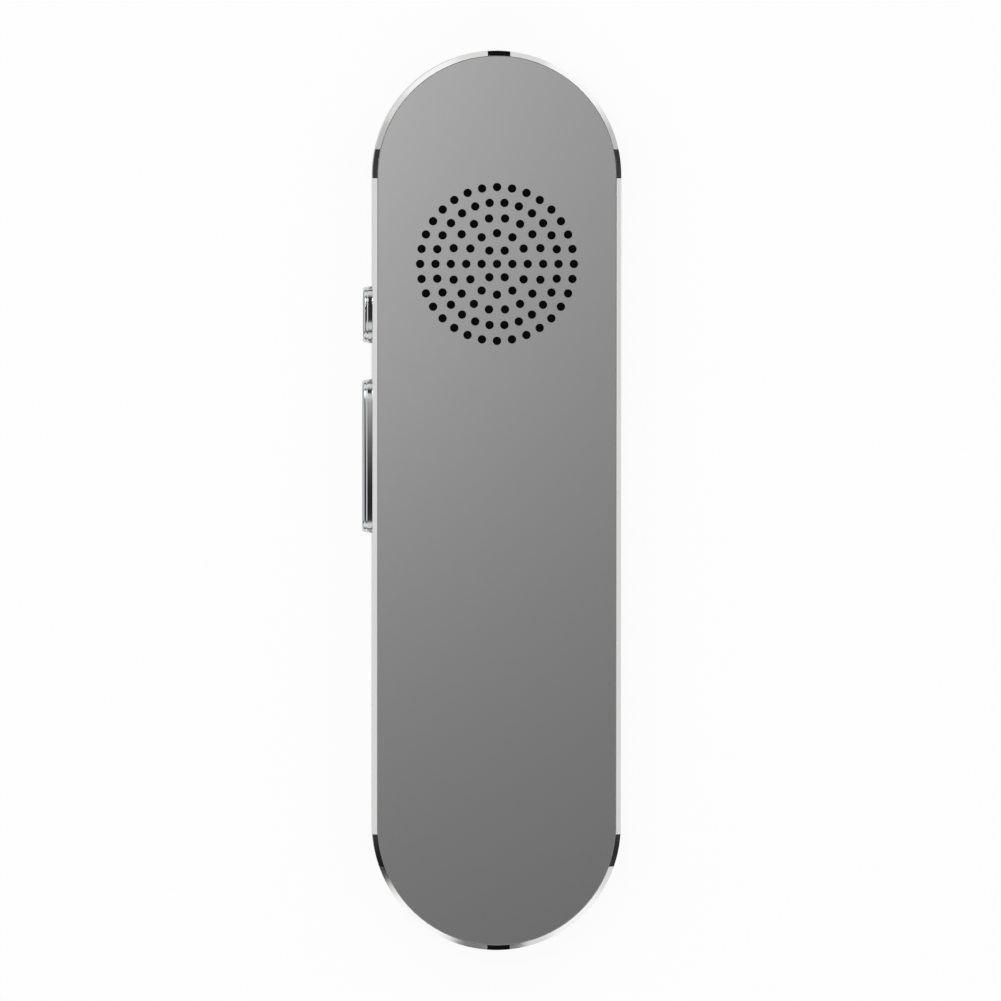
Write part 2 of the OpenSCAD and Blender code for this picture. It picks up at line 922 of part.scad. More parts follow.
// ---------------------------------------------------------------- chassis

// Room for a key's flange, open to the front
module key_window(y, l) {
    w = l + 2 * (flange_lip + window_gap);
    bottom = mid_z - key_h / 2 - flange_lip - window_gap;
    translate([-r_chassis - past, y - w / 2, bottom])
        cube([chassis_wall + 2 * past, w, body_t]);
}

// Rib across the battery bay from y to y + rib_t
module rib(y) {
    intersection() {
        translate([-r_out, y, floor_top - root])
            cube([body_w, rib_t, rib_h + root]);
        track(r_room + root, 0, body_t);
    }
}

// Saddle that carries the lower half of the microphone boot
module mic_cradle() {
    at_end(-1, mic_angle)
        difference() {
            translate([boot_base, -cradle_r, floor_top - root])
                cube([r_room + root - boot_base, 2 * cradle_r, mid_z - floor_top + root]);
            translate([boot_base - past, 0, mid_z])
                rotate([0, 90, 0])
                    cylinder(h = r_room + root + past, r = boot_r + cradle_fit);
        }
}

module side_bosses(r, z0, z1) {
    for (s = [-1, 1])
        translate([s * side_screw_x, board_y0 + side_screw_edge, z0])
            cylinder(h = z1 - z0, r = r);
}

module inner_chassis() {
    color("#1c1d1f")
        difference() {
            union() {
                track(r_chassis, floor_z, floor_top);
                track_ring(r_room, r_chassis, floor_z, chassis_top);
                each_end_screw(1, main_screw_angle)
                    ear(lug_r, r_room + root, lug_top, board_z);
                each_end_screw(-1, charge_screw_angle)
                    ear(lug_r, r_room + root, lug_top, charge_z);
                side_bosses(boss_r, floor_z, board_z);
                rib(rib_upper_y);
                rib(rib_lower_y);
                mic_cradle();
            }
            each_lug()
                ear(lug_r + lug_room, r_in + past, 0, lug_top);
            each_lug()
                translate([lug_reach, 0, 0])
                    cylinder(h = board_top, r = screw_d / 2 + screw_gap);
            side_bosses(screw_d / 2 + thread_gap, 0, board_top);
            key_window(short_key_y, short_key_l);
            key_window(long_key_y, long_key_l);
            port_opening();
            guide_hole();
            sound_hole(sound_hole_d + guide_gap, boot_top, r_in);
        }
}

// ---------------------------------------------------------------- boards

// Clearance holes for screws through a board
module board_holes(end, angle) {
    each_end_screw(end, angle)
        translate([lug_reach, 0, 0])
            cylinder(h = body_t, r = screw_d / 2 + screw_gap);
}

module main_board() {
    color("#1f5a3a")
        difference() {
            translate([0, 0, board_z])
                linear_extrude(board_t)
                    intersection() {
                        track_2d(r_board);
                        translate([-r_board, board_y0])
                            square([2 * r_board, body_l]);
                    }
            board_holes(1, main_screw_angle);
            side_bosses(screw_d / 2 + screw_gap, 0, body_t);
            guide_notch();
        }
}

// Notch in the main board's top edge for the light guide's flange
module guide_notch() {
    w = guide_d + 2 * (guide_lip + guide_play);
    translate([end_insert_x - w / 2, guide_y - guide_play, 0])
        cube([w, body_w, body_t]);
}

module charging_board() {
    color("#1f5a3a")
        difference() {
            translate([0, 0, charge_z])
                linear_extrude(board_t)
                    intersection() {
                        track_2d(r_board);
                        union() {
                            translate([-r_board, charge_y0])
                                square([2 * r_board, charge_y1 - charge_y0]);
                            translate([-tongue_w / 2, -end_y])
                                square([tongue_w, charge_y1 + end_y]);
                        }
                    }
            board_holes(-1, charge_screw_angle);
        }
}

// Pan-head screw whose head sits at height z and whose tip reaches down to the lugs
module screw(z) {
    tip = ledge_z + 0.1;
    slot_w = 0.3;
    slot_l = 1.3;
    slot_depth = 0.35;
    difference() {
        union() {
            translate([0, 0, tip])
                cylinder(h = z - tip + head_h / 2, r = screw_d / 2);
            translate([0, 0, z])
                cylinder(h = head_h, r = head_d / 2);
        }
        for (a = [0, 90])
            rotate(a)
                block([slot_l, slot_w, head_h], [0, 0, z + head_h - slot_depth]);
    }
}

module main_board_screws() {
    color("#8f9296") {
        each_end_screw(1, main_screw_angle)
            translate([lug_reach, 0, 0])
                screw(board_top);
        for (s = [-1, 1])
            translate([s * side_screw_x, board_y0 + side_screw_edge, 0])
                screw(board_top);
    }
}

module charging_board_screws() {
    color("#8f9296")
        each_end_screw(-1, charge_screw_angle)
            translate([lug_reach, 0, 0])
                screw(charge_top);
}

module shield_can() {
    color("#c2c5c8")
        difference() {
            block([can_w, can_l, can_h], [can_x, can_y, board_top]);
            block([can_w - 2 * can_t, can_l - 2 * can_t, can_h], [can_x, can_y, board_top - can_t]);
        }
}

module bluetooth_chip() {
    h = 0.9;
    color("#202124")
        chip([bluetooth_w, bluetooth_w, h], [can_x + bluetooth_x, can_y, board_top]);
}

module crystal() {
    h = 0.7;
    color("#b9bcc0")
        block([crystal_w, crystal_l, h], [can_x + crystal_x, can_y, board_top]);
}

module power_chip() {
    h = 0.8;
    color("#202124")
        chip([power_w, power_w, h], [column_x, column_y0 + power_w / 2, board_top]);
}

module flash_chip() {
    h = 0.8;
    y = column_y0 + power_w + capacitor_w + 2 * part_gap + flash_l / 2;
    color("#202124")
        chip([flash_w, flash_l, h], [column_x, y, board_top]);
}

module audio_amplifier() {
    h = 0.75;
    color("#202124")
        chip([amplifier_w, amplifier_w, h],
             [can_x + amplifier_x, can_y1 + part_gap + amplifier_w / 2, board_top]);
}

// Row of n small capacitors centred on x
module capacitor_row(n, x, y) {
    for (k = [0 : n - 1])
        block([capacitor_l, capacitor_w, capacitor_w],
              [x + (k - (n - 1) / 2) * capacitor_step, y, board_top]);
}

// Above and below the shield can, and between the two chips beside it
module board_capacitors() {
    color("#b08a5a") {
        capacitor_row(4, can_x - can_w / 4, can_y1 + part_gap);
        capacitor_row(6, can_x, can_y - can_l / 2 - part_gap);
        capacitor_row(3, column_x, column_y0 + power_w + part_gap + capacitor_w / 2);
    }
}

module chip_antenna() {
    h = 1;
    color("#e9e6dc")
        block([antenna_l, antenna_w, h],
              [antenna_x, arc_y + r_board - antenna_edge - antenna_w / 2, board_top]);
}

module status_led() {
    h = 1.2;
    color("#f4f1dc")
        block([led_w, led_l, h], [end_insert_x, led_y + led_l / 2, board_top]);
}

module light_guide() {
    color("#dfe8ee", 0.6)
        translate([end_insert_x, 0, mid_z])
            rotate([-90, 0, 0]) {
                translate([0, 0, guide_y])
                    cylinder(h = end_y - guide_flush - guide_y, r = guide_d / 2);
                translate([0, 0, guide_y])
                    cylinder(h = guide_flange_l, r = guide_d / 2 + guide_lip);
            }
}

// ---------------------------------------------------------------- speaker

module speaker_mesh() {
    color("#101010")
        at_speaker()
            translate([0, 0, gasket_z + gasket_t])
                cylinder(h = mesh_t, r = speaker_r - holder_gap);
}

module speaker_gasket() {
    color("#1a1a1a")
        at_speaker()
            ring(roll_r1, speaker_r - holder_gap, gasket_z, gasket_z + gasket_t);
}

module speaker_front_ring() {
    color("#2a2a2c")
        at_speaker()
            ring(roll_r1, speaker_r - holder_gap, ring_z, gasket_z);
}

// Shallow cup whose floor grips the yoke, with four vents
module speaker_basket() {
    color("#3a3c40")
        at_speaker()
            difference() {
                rotate_extrude()
                    polygon([
                        [yoke_edge + press_gap, basket_z],
                        [speaker_r, basket_z],
                        [speaker_r, rim_z],
                        [rim_r, rim_z],
                        [rim_r, basket_z + basket_t],
                        [yoke_edge + press_gap, basket_z + basket_t]
                    ]);
                for (a = [45 : 90 : 315])
                    rotate(a)
                        translate([vent_reach, 0, 0])
                            cylinder(h = body_t, r = vent_d / 2);
            }
}

module speaker_yoke() {
    color("#8b8e92")
        at_speaker()
            difference() {
                translate([0, 0, yoke_z])
                    cylinder(h = pole_z + pole_t - yoke_z, r = yoke_edge);
                translate([0, 0, magnet_z])
                    cylinder(h = body_t, r = yoke_r);
            }
}

module speaker_magnet() {
    color("#55585c")
        at_speaker()
            translate([0, 0, magnet_z])
                cylinder(h = magnet_h, r = magnet_d / 2);
}

module speaker_pole_plate() {
    color("#8b8e92")
        at_speaker()
            translate([0, 0, pole_z])
                cylinder(h = pole_t, r = pole_r);
}

module voice_coil() {
    color("#b5652e")
        at_speaker()
            ring(coil_r, coil_r + coil_wall, cone_z - coil_h, cone_z);
}

// Dome, seat on the coil, cone and lip in one pressed sheet
module speaker_cone() {
    seat_r = coil_r + coil_wall;
    dome = [for (k = [0 : 6]) let (u = k / 6) [u * coil_r, dome_rise * (1 - u * u)]];
    under = concat(dome, [[seat_r, 0], [roll_r0 - lip_w, cone_rise], [roll_r0, cone_rise]]);
    last = len(under) - 1;
    over = [for (k = [last : -1 : 0]) under[k] + [0, cone_t]];
    color("#35363a")
        at_speaker()
            translate([0, 0, cone_z])
                rotate_extrude()
                    polygon(concat(under, over));
}

// Flexible roll between the cone's lip and the basket's rim
module speaker_surround() {
    outer = speaker_r - holder_gap;
    roll = [for (k = [0 : 12]) [roll_r0 + roll_w * k / 12, roll_rise * sin(180 * k / 12)]];
    under = concat([[roll_r0 - lip_w, 0]], roll, [[outer, 0]]);
    last = len(under) - 1;
    over = [for (k = [last : -1 : 0]) under[k] + [0, surround_t]];
    color("#222224")
        at_speaker()
            translate([0, 0, rim_z])
                rotate_extrude()
                    polygon(concat(under, over));
}

// Ring that stands on the main board, carries the basket on its shelf and walls the speaker in,
// with a notch in its foot for the leads
module speaker_holder() {
    wall_r = speaker_r + holder_gap;
    color("#26272a")
        difference() {
            at_speaker()
                difference() {
                    rotate_extrude()
                        polygon([
                            [foot_r, board_top],
                            [foot_r + foot_wall, board_top],
                            [foot_r + foot_wall, basket_z - shelf_t],
                            [wall_r + holder_wall, basket_z - shelf_t],
                            [wall_r + holder_wall, room_top - holder_play],
                            [wall_r, room_top - holder_play],
                            [wall_r, basket_z],
                            [foot_r, basket_z]
                        ]);
                    block([lead_notch_w, foot_wall + 2 * past, basket_z - shelf_t - board_top],
                          [0, -foot_r - foot_wall / 2, board_top]);
                }
            block([switch_d, switch_l + 2 * switch_tab_l, switch_h] + switch_gap * [2, 2, 1],
                  [-switch_x + switch_d / 2, short_key_y, board_top]);
        }
}

// Two wires from the basket's underside, out through the foot and down to the main board
module speaker_leads() {
    drop = 0.2;
    run = 2;
    start = [0, -yoke_edge - lead_inset, basket_z - solder_gap];
    end = [0, -foot_r - lead_out, board_top + signal_wire_r];
    below = [start.x, start.y, end.z + drop];
    color("#a03028")
        for (x = [-1, 1])
            translate([x * lead_x, speaker_y, 0])
                wire(curve([start, below, end + [0, run, 0], end], 12), signal_wire_r);
}

// ---------------------------------------------------------------- battery

module battery_cell() {
    corner = 1;
    side = 1;
    color("#b7babd") {
        translate([0, cell_y1, (battery_z + battery_top) / 2])
            rotate([90, 0, 0])
                linear_extrude(cell_y1 - battery_y0)
                    rounded(battery_w, battery_t, corner);
        block([battery_w - 2 * side, terrace_l + root, terrace_t],
              [0, cell_y1 + (terrace_l - root) / 2, protect_z - terrace_t]);
    }
}

module protection_board() {
    margin = 0.3;
    side = 3;
    color("#1f5a3a")
        block([battery_w - 2 * side, terrace_l - 2 * margin, protect_t],
              [0, cell_y1 + terrace_l / 2, protect_z]);
}

module battery_tape() {
    margin = 1.5;
    color("#e8e4d0")
        block([battery_w - 2 * margin, cell_y1 - battery_y0 - 2 * margin, tape_t],
              [0, (cell_y1 + battery_y0) / 2, floor_top]);
}

module battery_socket() {
    color("#e6e2d6")
        difference() {
            block([socket_w, socket_l, socket_h], [socket_x, socket_y + socket_l / 2, board_top]);
            block([socket_w - 2 * socket_wall, socket_l, socket_h - 2 * socket_wall],
                  [socket_x, socket_y + socket_l / 2 - socket_wall, board_top + socket_wall]);
        }
}

module battery_plug() {
    color("#f0ede4")
        block([socket_w - 2 * plug_wall, plug_l, socket_h - 2 * plug_wall],
              [socket_x, plug_y + plug_l / 2, board_top + plug_wall]);
}

// Two wires from the protection board to the plug
module battery_leads() {
    spread = 1;
    run = 1.5;
    start = [0, cell_y1 + terrace_l / 2, protect_z + protect_t + power_wire_r];
    end = [0, plug_y - solder_gap, board_top + socket_h / 2];
    color("#c22d25")
        for (s = [-1, 1])
            translate([socket_x + s * spread, 0, 0])
                wire(curve([start, start + [0, run, 0.6], end - [0, run, -0.2], end], 12), power_wire_r);
}

// ---------------------------------------------------------------- flex cable and its sockets

// Socket from y to y + flex_socket_l on a board at height z, open on the side s
module flex_socket(y, z, s) {
    slot_h = flex_t + 0.15;
    slot_depth = 1.6;
    difference() {
        block([flex_w + 1, flex_socket_l, flex_socket_h], [flex_x, y + flex_socket_l / 2, z]);
        block([flex_w + 0.2, 2 * slot_depth, slot_h],
              [flex_x, s < 0 ? y : y + flex_socket_l, z + (flex_socket_h - slot_h) / 2]);
    }
}

module flex_sockets() {
    color("#efe9dc") {
        flex_socket(flex_socket_y, board_top, -1);
        flex_socket(charge_socket_y, charge_top, 1);
    }
}

// Ribbon out of one socket, over the battery and into the other
module flex_cable() {
    rise = 0.15;
    seat = 1.4;
    z0 = charge_top + flex_socket_h / 2;
    z1 = board_top + flex_socket_h / 2;
    top = battery_top + rise;
    y0 = charge_socket_y + flex_socket_l;
    y1 = flex_socket_y;
    line = [
        [y0 - seat, z0],
        [y0 + 0.2, z0],
        [battery_y0, top],
        [battery_y1, top],
        [y1 - 0.2, z1],
        [y1 + seat, z1]
    ];
    last = len(line) - 1;
    under = [for (p = line) p - [0, flex_t / 2]];
    over = [for (k = [last : -1 : 0]) line[k] + [0, flex_t / 2]];
    color("#c47a2c")
        translate([flex_x - flex_w / 2, 0, 0])
            rotate([90, 0, 90])
                linear_extrude(flex_w)
                    polygon(concat(under, over));
}

// ---------------------------------------------------------------- charging port

// Outline of the port, narrower at its foot, drawn about its centre and grown by g
module port_2d(g) {
    w = usb_w / 2 + g;
    h = usb_h / 2 + g;
    slant = 0.9;
    polygon([[-w, h], [w, h], [w, -h + slant], [w - slant, -h], [slant - w, -h], [-w, -h + slant]]);
}

// Places a flat drawing across the case so that it runs inwards from the port's mouth
module into_port(start, l) {
    translate([0, -usb_mouth + start, mid_z])
        rotate([90, 0, 0])
            translate([0, 0, -l])
                linear_extrude(l)
                    children();
}

module usb_shell() {
    color("#c6c9cc") {
        into_port(0, usb_room)
            difference() {
                port_2d(0);
                port_2d(-usb_wall);
            }
        into_port(usb_room, usb_wall)
            port_2d(0);
    }
}

// Moulded back of the port and the tongue that a plug slides over
module usb_insulator() {
    color("#17181a") {
        into_port(usb_room - insulator_l - press_gap, insulator_l)
            port_2d(-usb_wall - press_gap);
        into_port(usb_room - insulator_l - plug_tongue_l, plug_tongue_l + root)
            translate([-plug_tongue_w / 2, plug_tongue_z - plug_tongue_t / 2])
                square([plug_tongue_w, plug_tongue_t]);
    }
}

// Five contacts under the tongue
module usb_contacts() {
    front = 0.4;
    back = 0.2;
    z = plug_tongue_z - plug_tongue_t / 2 - contact_t;
    color("#d8b25a")
        into_port(usb_room - insulator_l - plug_tongue_l + front, plug_tongue_l - front - back)
            for (k = [-2 : 2])
                translate([k * contact_pitch - contact_w / 2, z])
                    square([contact_w, contact_t]);
}

// ---------------------------------------------------------------- microphone

// Turns its children so that Z runs outwards through the microphone's axis
module at_mic() {
    at_end(-1, mic_angle)
        translate([0, 0, mid_z])
            rotate([0, 90, 0])
                children();
}

module microphone() {
    color("#a9acaf")
        at_mic()
            translate([0, 0, mic_back])
                cylinder(h = mic_l, r = mic_d / 2);
}

module microphone_boot() {
    snout_r = sound_hole_d;
    color("#1b1b1b")
        at_mic()
            difference() {
                union() {
                    translate([0, 0, boot_base])
                        cylinder(h = boot_top - boot_base, r = boot_r);
                    translate([0, 0, boot_base])
                        cylinder(h = r_in - flange_gap - boot_base, r = snout_r);
                }
                translate([0, 0, boot_base - past])
                    cylinder(h = boot_top - boot_front - boot_base + past, r = mic_d / 2 + press_gap);
                cylinder(h = r_out, r = sound_hole_d / 2);
            }
}

// Two wires from the capsule's back to the charging board
module microphone_leads() {
    spread = 0.6;
    run = 1.2;
    c = cos(mic_angle);
    s = sin(mic_angle);
    base = [mic_back * c, -arc_y - mic_back * s, mid_z];
    inward = [-c, s, 0];
    across = [s, c, 0];
    pad = [base.x + 2, charge_y0 + run, charge_top + signal_wire_r];
    color("#a03028")
        for (k = [-1, 1]) {
            start = base + k * spread * across + solder_gap * inward;
            end = pad + [k * spread, 0, 0];
            wire(curve([start, start + run * inward, end - [0, run, 0], end], 12), signal_wire_r);
        }
}

// ---------------------------------------------------------------- the whole

front_cover();
back_cover();
side_frame();
top_insert();
bottom_insert();
upper_left_insert();
upper_right_insert();
lower_left_insert();
lower_right_insert();
light_guide();
short_key();
long_key();
front_cover_adhesive();
back_cover_adhesive();
speaker_mesh();
speaker_gasket();
speaker_front_ring();
speaker_basket();
speaker_yoke();
speaker_magnet();
speaker_pole_plate();
voice_coil();
speaker_cone();
speaker_surround();
speaker_holder();
speaker_leads();
inner_chassis();
main_board();
bluetooth_chip();
shield_can();
flash_chip();
audio_amplifier();
power_chip();
crystal();
board_capacitors();
chip_antenna();
battery_socket();
flex_sockets();
short_key_switch();
short_switch_plunger();
long_key_switch();
long_switch_plunger();
status_led();
battery_cell();
protection_board();
battery_leads();
battery_plug();
battery_tape();
charging_board();
usb_shell();
usb_insulator();
usb_contacts();
microphone();
microphone_boot();
microphone_leads();
flex_cable();
main_board_screws();
charging_board_screws();
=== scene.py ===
"""Handheld translator: the finish of every piece, the stage it lies on, the lamps and the camera.

Lengths are metres, x across, y towards the speaker end and z up from the rest face.
"""

import math

import bmesh
import bpy
import numpy as np
from mathutils import Matrix, Vector


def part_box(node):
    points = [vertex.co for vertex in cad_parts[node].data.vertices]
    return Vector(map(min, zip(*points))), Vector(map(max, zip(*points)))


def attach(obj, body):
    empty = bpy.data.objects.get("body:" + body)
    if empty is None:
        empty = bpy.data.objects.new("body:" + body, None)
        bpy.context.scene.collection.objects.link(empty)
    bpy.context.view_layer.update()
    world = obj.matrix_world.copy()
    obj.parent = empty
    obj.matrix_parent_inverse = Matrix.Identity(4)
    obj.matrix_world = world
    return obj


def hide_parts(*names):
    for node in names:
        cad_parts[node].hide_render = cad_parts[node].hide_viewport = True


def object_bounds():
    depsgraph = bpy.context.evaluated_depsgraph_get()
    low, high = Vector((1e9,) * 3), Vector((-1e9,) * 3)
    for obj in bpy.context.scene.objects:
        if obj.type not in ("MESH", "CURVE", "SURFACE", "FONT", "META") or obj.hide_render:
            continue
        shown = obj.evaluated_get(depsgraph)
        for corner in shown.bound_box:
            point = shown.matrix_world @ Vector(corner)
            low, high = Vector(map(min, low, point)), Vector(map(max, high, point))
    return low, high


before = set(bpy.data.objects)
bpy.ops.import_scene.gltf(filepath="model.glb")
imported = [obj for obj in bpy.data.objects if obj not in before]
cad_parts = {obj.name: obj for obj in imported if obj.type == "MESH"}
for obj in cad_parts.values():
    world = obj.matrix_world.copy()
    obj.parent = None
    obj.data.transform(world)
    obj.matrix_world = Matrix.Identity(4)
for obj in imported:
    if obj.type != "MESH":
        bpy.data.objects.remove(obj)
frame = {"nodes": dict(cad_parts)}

bl_info = {
    "name": "Handheld Translator",
    "version": (1, 0, 0),
    "blender": (4, 5, 0),
    "location": "3D View > Sidebar > Translator",
    "description": "Finishes the pieces of a handheld translator and sets it on a studio stage",
    "category": "Object",
}

MM = 0.001
MICRON = 0.000001
CAD_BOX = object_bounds()
COVER_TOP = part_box("front_cover")[1].z
# Points of a new piece that lie closer than this are merged.
MERGE = 0.1 * MICRON
# The radius of a key's small edges, all but the one round its face.
SMALL_EDGE = 0.08 * MM


def linear(code):
    """An sRGB hex colour such as "#908e8d" as linear red, green and blue.

    Each part from 0 to 1 is divided by 12.92 where it is at most 0.04045, and otherwise it is the
    part plus 0.055, over 1.055, to the power 2.4.
    """
    part = np.array([int(code[k : k + 2], 16) for k in (1, 3, 5)]) / 255
    return tuple(float(v) for v in np.where(part <= 0.04045, part / 12.92, ((part + 0.055) / 1.055) ** 2.4))


def colour(name, code, text):
    """A colour property whose default is an sRGB hex colour."""
    return bpy.props.FloatVectorProperty(
        name=name, description=text, default=linear(code), subtype="COLOR", size=3, min=0, max=1
    )


def length(name, millimetres, text):
    """A length property whose default is given in millimetres."""
    default = millimetres * MM
    return bpy.props.FloatProperty(
        name=name, description=text, default=default, min=0, precision=6, unit="LENGTH", subtype="DISTANCE"
    )


def angle(name, degrees, text):
    """An angle property whose default is given in degrees."""
    default = math.radians(degrees)
    return bpy.props.FloatProperty(
        name=name, description=text, default=default, min=0, unit="ROTATION", subtype="ANGLE"
    )


def share(name, value, text):
    """A factor property from 0 to 1."""
    return bpy.props.FloatProperty(name=name, description=text, default=value, min=0, max=1, subtype="FACTOR")


class TranslatorMetal(bpy.types.PropertyGroup):
    """The bare metal that the hand touches."""

    cover: colour("Cover", "#8f8e8e", "Colour of the anodised covers")
    cover_gloss: share("Cover roughness", 0.36, "How widely the blasted skin spreads a reflection")
    grit: length("Blasting grit", 0.16, "Width of one dimple in the blasted skin")
    frame: colour("Side frame", "#dadad9", "Colour of the polished side frame")
    frame_gloss: share("Frame roughness", 0.16, "How widely the polished frame spreads a reflection")
    key: colour("Keys", "#c9cbcd", "Colour of the chrome on the keys")
    key_gloss: share("Key roughness", 0.05, "How widely the chrome spreads a reflection")


class TranslatorKeys(bpy.types.PropertyGroup):
    """The shape of the two keys, which is the same but for its length."""

    lip: length("Flange lip", 0.7, "How far the flange reaches past the key's sides")
    flange: length("Flange thickness", 0.6, "Thickness of the flange that holds a key in")
    nub: length("Nub length", 0.85, "Length of the nub that pushes the switch")
    nub_width: length("Nub width", 1.2, "Width of the nub that pushes the switch")
    step_at: length("Step place", 0.68, "Distance of the step round a key from its face")
    step_length: length("Step length", 0.15, "Length of the step's slope")
    step: length("Step depth", 0.08, "How much slimmer a key is outside the step")
    rounding: length("Face rounding", 0.45, "Radius of the edge round the face")
    swell: length("Face swell", 0.05, "How far the face swells at its middle")
    crown: share("Crown", 0.05, "Share of its height that a side falls by from the middle to the ends")


class TranslatorPlastic(bpy.types.PropertyGroup):
    """The moulded pieces, and the cloth behind the grille."""

    end_insert: colour("End inserts", "#050506", "Colour of the inserts at the two ends")
    side_insert: colour("Side inserts", "#151617", "Colour of the four inserts at the sides")
    inside: colour("Chassis", "#26272a", "Colour of the chassis and the speaker holder")
    pebble: length("Mould texture", 0.12, "Width of one pebble of the mould's texture")
    cloth: colour("Speaker cloth", "#131315", "Colour of the cloth behind the grille")
    thread: length("Thread spacing", 0.2, "Spacing of the threads of the speaker cloth")


class TranslatorInside(bpy.types.PropertyGroup):
    """The boards, the battery and the wires."""

    board: colour("Solder mask", "#123a2a", "Colour of the boards between the copper")
    trace: colour("Covered copper", "#1f5a3d", "Colour of the solder mask over the copper")
    pitch: length("Trace pitch", 0.8, "Spacing of the copper traces on the boards")
    pouch: colour("Battery pouch", "#b9bcc0", "Colour of the battery's laminate")
    wire: colour("Power wire", "#8e1616", "Colour of the battery's wires")
    film: colour("Flex film", "#b8722a", "Colour of the polyimide film of the flex cable")


class TranslatorStage(bpy.types.PropertyGroup):
    """The floor, the lamps and the camera."""

    floor: colour("Floor", "#f4f4f4", "Colour of the floor")
    floor_size: length("Floor size", 6000, "Width and depth of the floor")
    shadow: share("Shadow", 0.08, "Share of the floor's own shade that the camera sees through its white")
    # The floor's glow for metal carries painted shade: a contact shade round the object, and a fall to dark
    # from the lit to the unlit length.
    contact: length("Contact shade", 0.5, "Width of the shade round the object that metal sees")
    lit: length("Lit floor", 22, "How far from the object the floor starts to fall dark for metal")
    unlit: length("Unlit floor", 60, "How far from the object the floor is dark for metal")
    distance: length("Camera distance", 3000, "From the camera to the covers")
    view_width: length("View width", 153.01, "Width of the view at the front cover's edge")
    aim_x: bpy.props.FloatProperty(
        name="Aim across", description="The view's centre, across", default=0.57 * MM, unit="LENGTH"
    )
    aim_y: bpy.props.FloatProperty(
        name="Aim along", description="The view's centre, along", default=0.03 * MM, unit="LENGTH"
    )
    lean_x: angle("Lean across", 1.3, "How far the camera stands towards the keys")
    lean_y: angle("Lean along", 1.6, "How far the camera stands towards the speaker end")


def blank(name):
    """A new material without any nodes."""
    surface = bpy.data.materials.new(name)
    surface.use_nodes = True
    surface.node_tree.nodes.clear()
    return surface


def add(tree, kind, links=(), **settings):
    """Adds a node of a kind to a tree.

    The links, by input or in the inputs' order, are plain values, outputs of other nodes, or
    nodes whose first output is meant.
    """
    node = tree.nodes.new("ShaderNode" + kind)
    for name, value in settings.items():
        setattr(node, name, value)
    for key, value in links.items() if isinstance(links, dict) else enumerate(links):
        if isinstance(value, bpy.types.Node):
            value = value.outputs[0]
        if isinstance(value, bpy.types.NodeSocket):
            tree.links.new(value, node.inputs[key])
        else:
            node.inputs[key].default_value = value
    return node


def place(tree, scale=(1, 1, 1)):
    """The point on the piece in Object coordinates, with each axis multiplied by its scale."""
    point = add(tree, "TexCoord").outputs["Object"]
    return add(tree, "Mapping", {"Vector": point, "Scale": scale})


# Each relief below gives a height from 0 to 1 for a size in metres.


def grain(tree, size, detail=2.0):
    """Blasted or cast grain: cloudy noise whose cells are the size across."""
    return add(tree, "TexNoise", {"Vector": place(tree), "Scale": 1 / size, "Detail": detail})


def pebble(tree, size):
    """Spark-eroded mould texture: rounded cells, the distance to the nearest cell centre."""
    cell = {"Vector": place(tree), "Scale": 1 / size, "Smoothness": 0.6}
    return add(tree, "TexVoronoi", cell, feature="SMOOTH_F1").outputs["Distance"]


def polish(tree, size, stretch=60):
    """Polishing lines that run round the piece: noise of one size up and down, and stretched round."""
    lines = {"Vector": place(tree, (1 / stretch, 1 / stretch, 1)), "Scale": 1 / size, "Detail": 3.0}
    return add(tree, "TexNoise", lines)


def wave(tree, size, axis):
    """Even ridges along an axis, 0 for x, 1 for y and 2 for z: half of one plus the sine of its turns."""
    along = add(tree, "SeparateXYZ", [place(tree)]).outputs[axis]
    turns = add(tree, "Math", [along, 2 * math.pi / size], operation="MULTIPLY")
    sine = add(tree, "Math", [turns], operation="SINE")
    return add(tree, "Math", [sine, 0.5, 0.5], operation="MULTIPLY_ADD")


def weave(tree, size, crimp=0.6, level=0.62):
    """Plain weave: the higher of two crossing sines, times a level that keeps it under 1.

    One sine is raised, and the other lowered, by the crimp times their product.
    """
    apart = add(tree, "SeparateXYZ", [place(tree)]).outputs
    turns = [add(tree, "Math", [apart[k], math.pi / size], operation="MULTIPLY") for k in (0, 1)]
    sines = [add(tree, "Math", [turn], operation="SINE") for turn in turns]
    over = add(tree, "Math", sines, operation="MULTIPLY")
    threads = []
    for sine, rise in zip(sines, (crimp, -crimp)):
        lift = add(tree, "Math", [over, rise, 1.0], operation="MULTIPLY_ADD")
        thread = add(tree, "Math", [sine], operation="ABSOLUTE")
        threads.append(add(tree, "Math", [thread, lift], operation="MULTIPLY"))
    high = add(tree, "Math", threads, operation="MAXIMUM")
    return add(tree, "Math", [high, level], operation="MULTIPLY")


def traces(tree, size):
    """Copper under solder mask: thin walls of a brick bond, a tenth of the pitch thick, whose bricks
    are three and a half pitches long and half a pitch high."""
    wall = {
        "Vector": place(tree),
        "Color1": (0, 0, 0, 1),
        "Color2": (0, 0, 0, 1),
        "Mortar": (1, 1, 1, 1),
        "Scale": 1.0,
        "Mortar Size": size / 10,
        "Mortar Smooth": 0.2,
        "Brick Width": 3.5 * size,
        "Row Height": size / 2,
    }
    return add(tree, "TexBrick", wall).outputs["Color"]


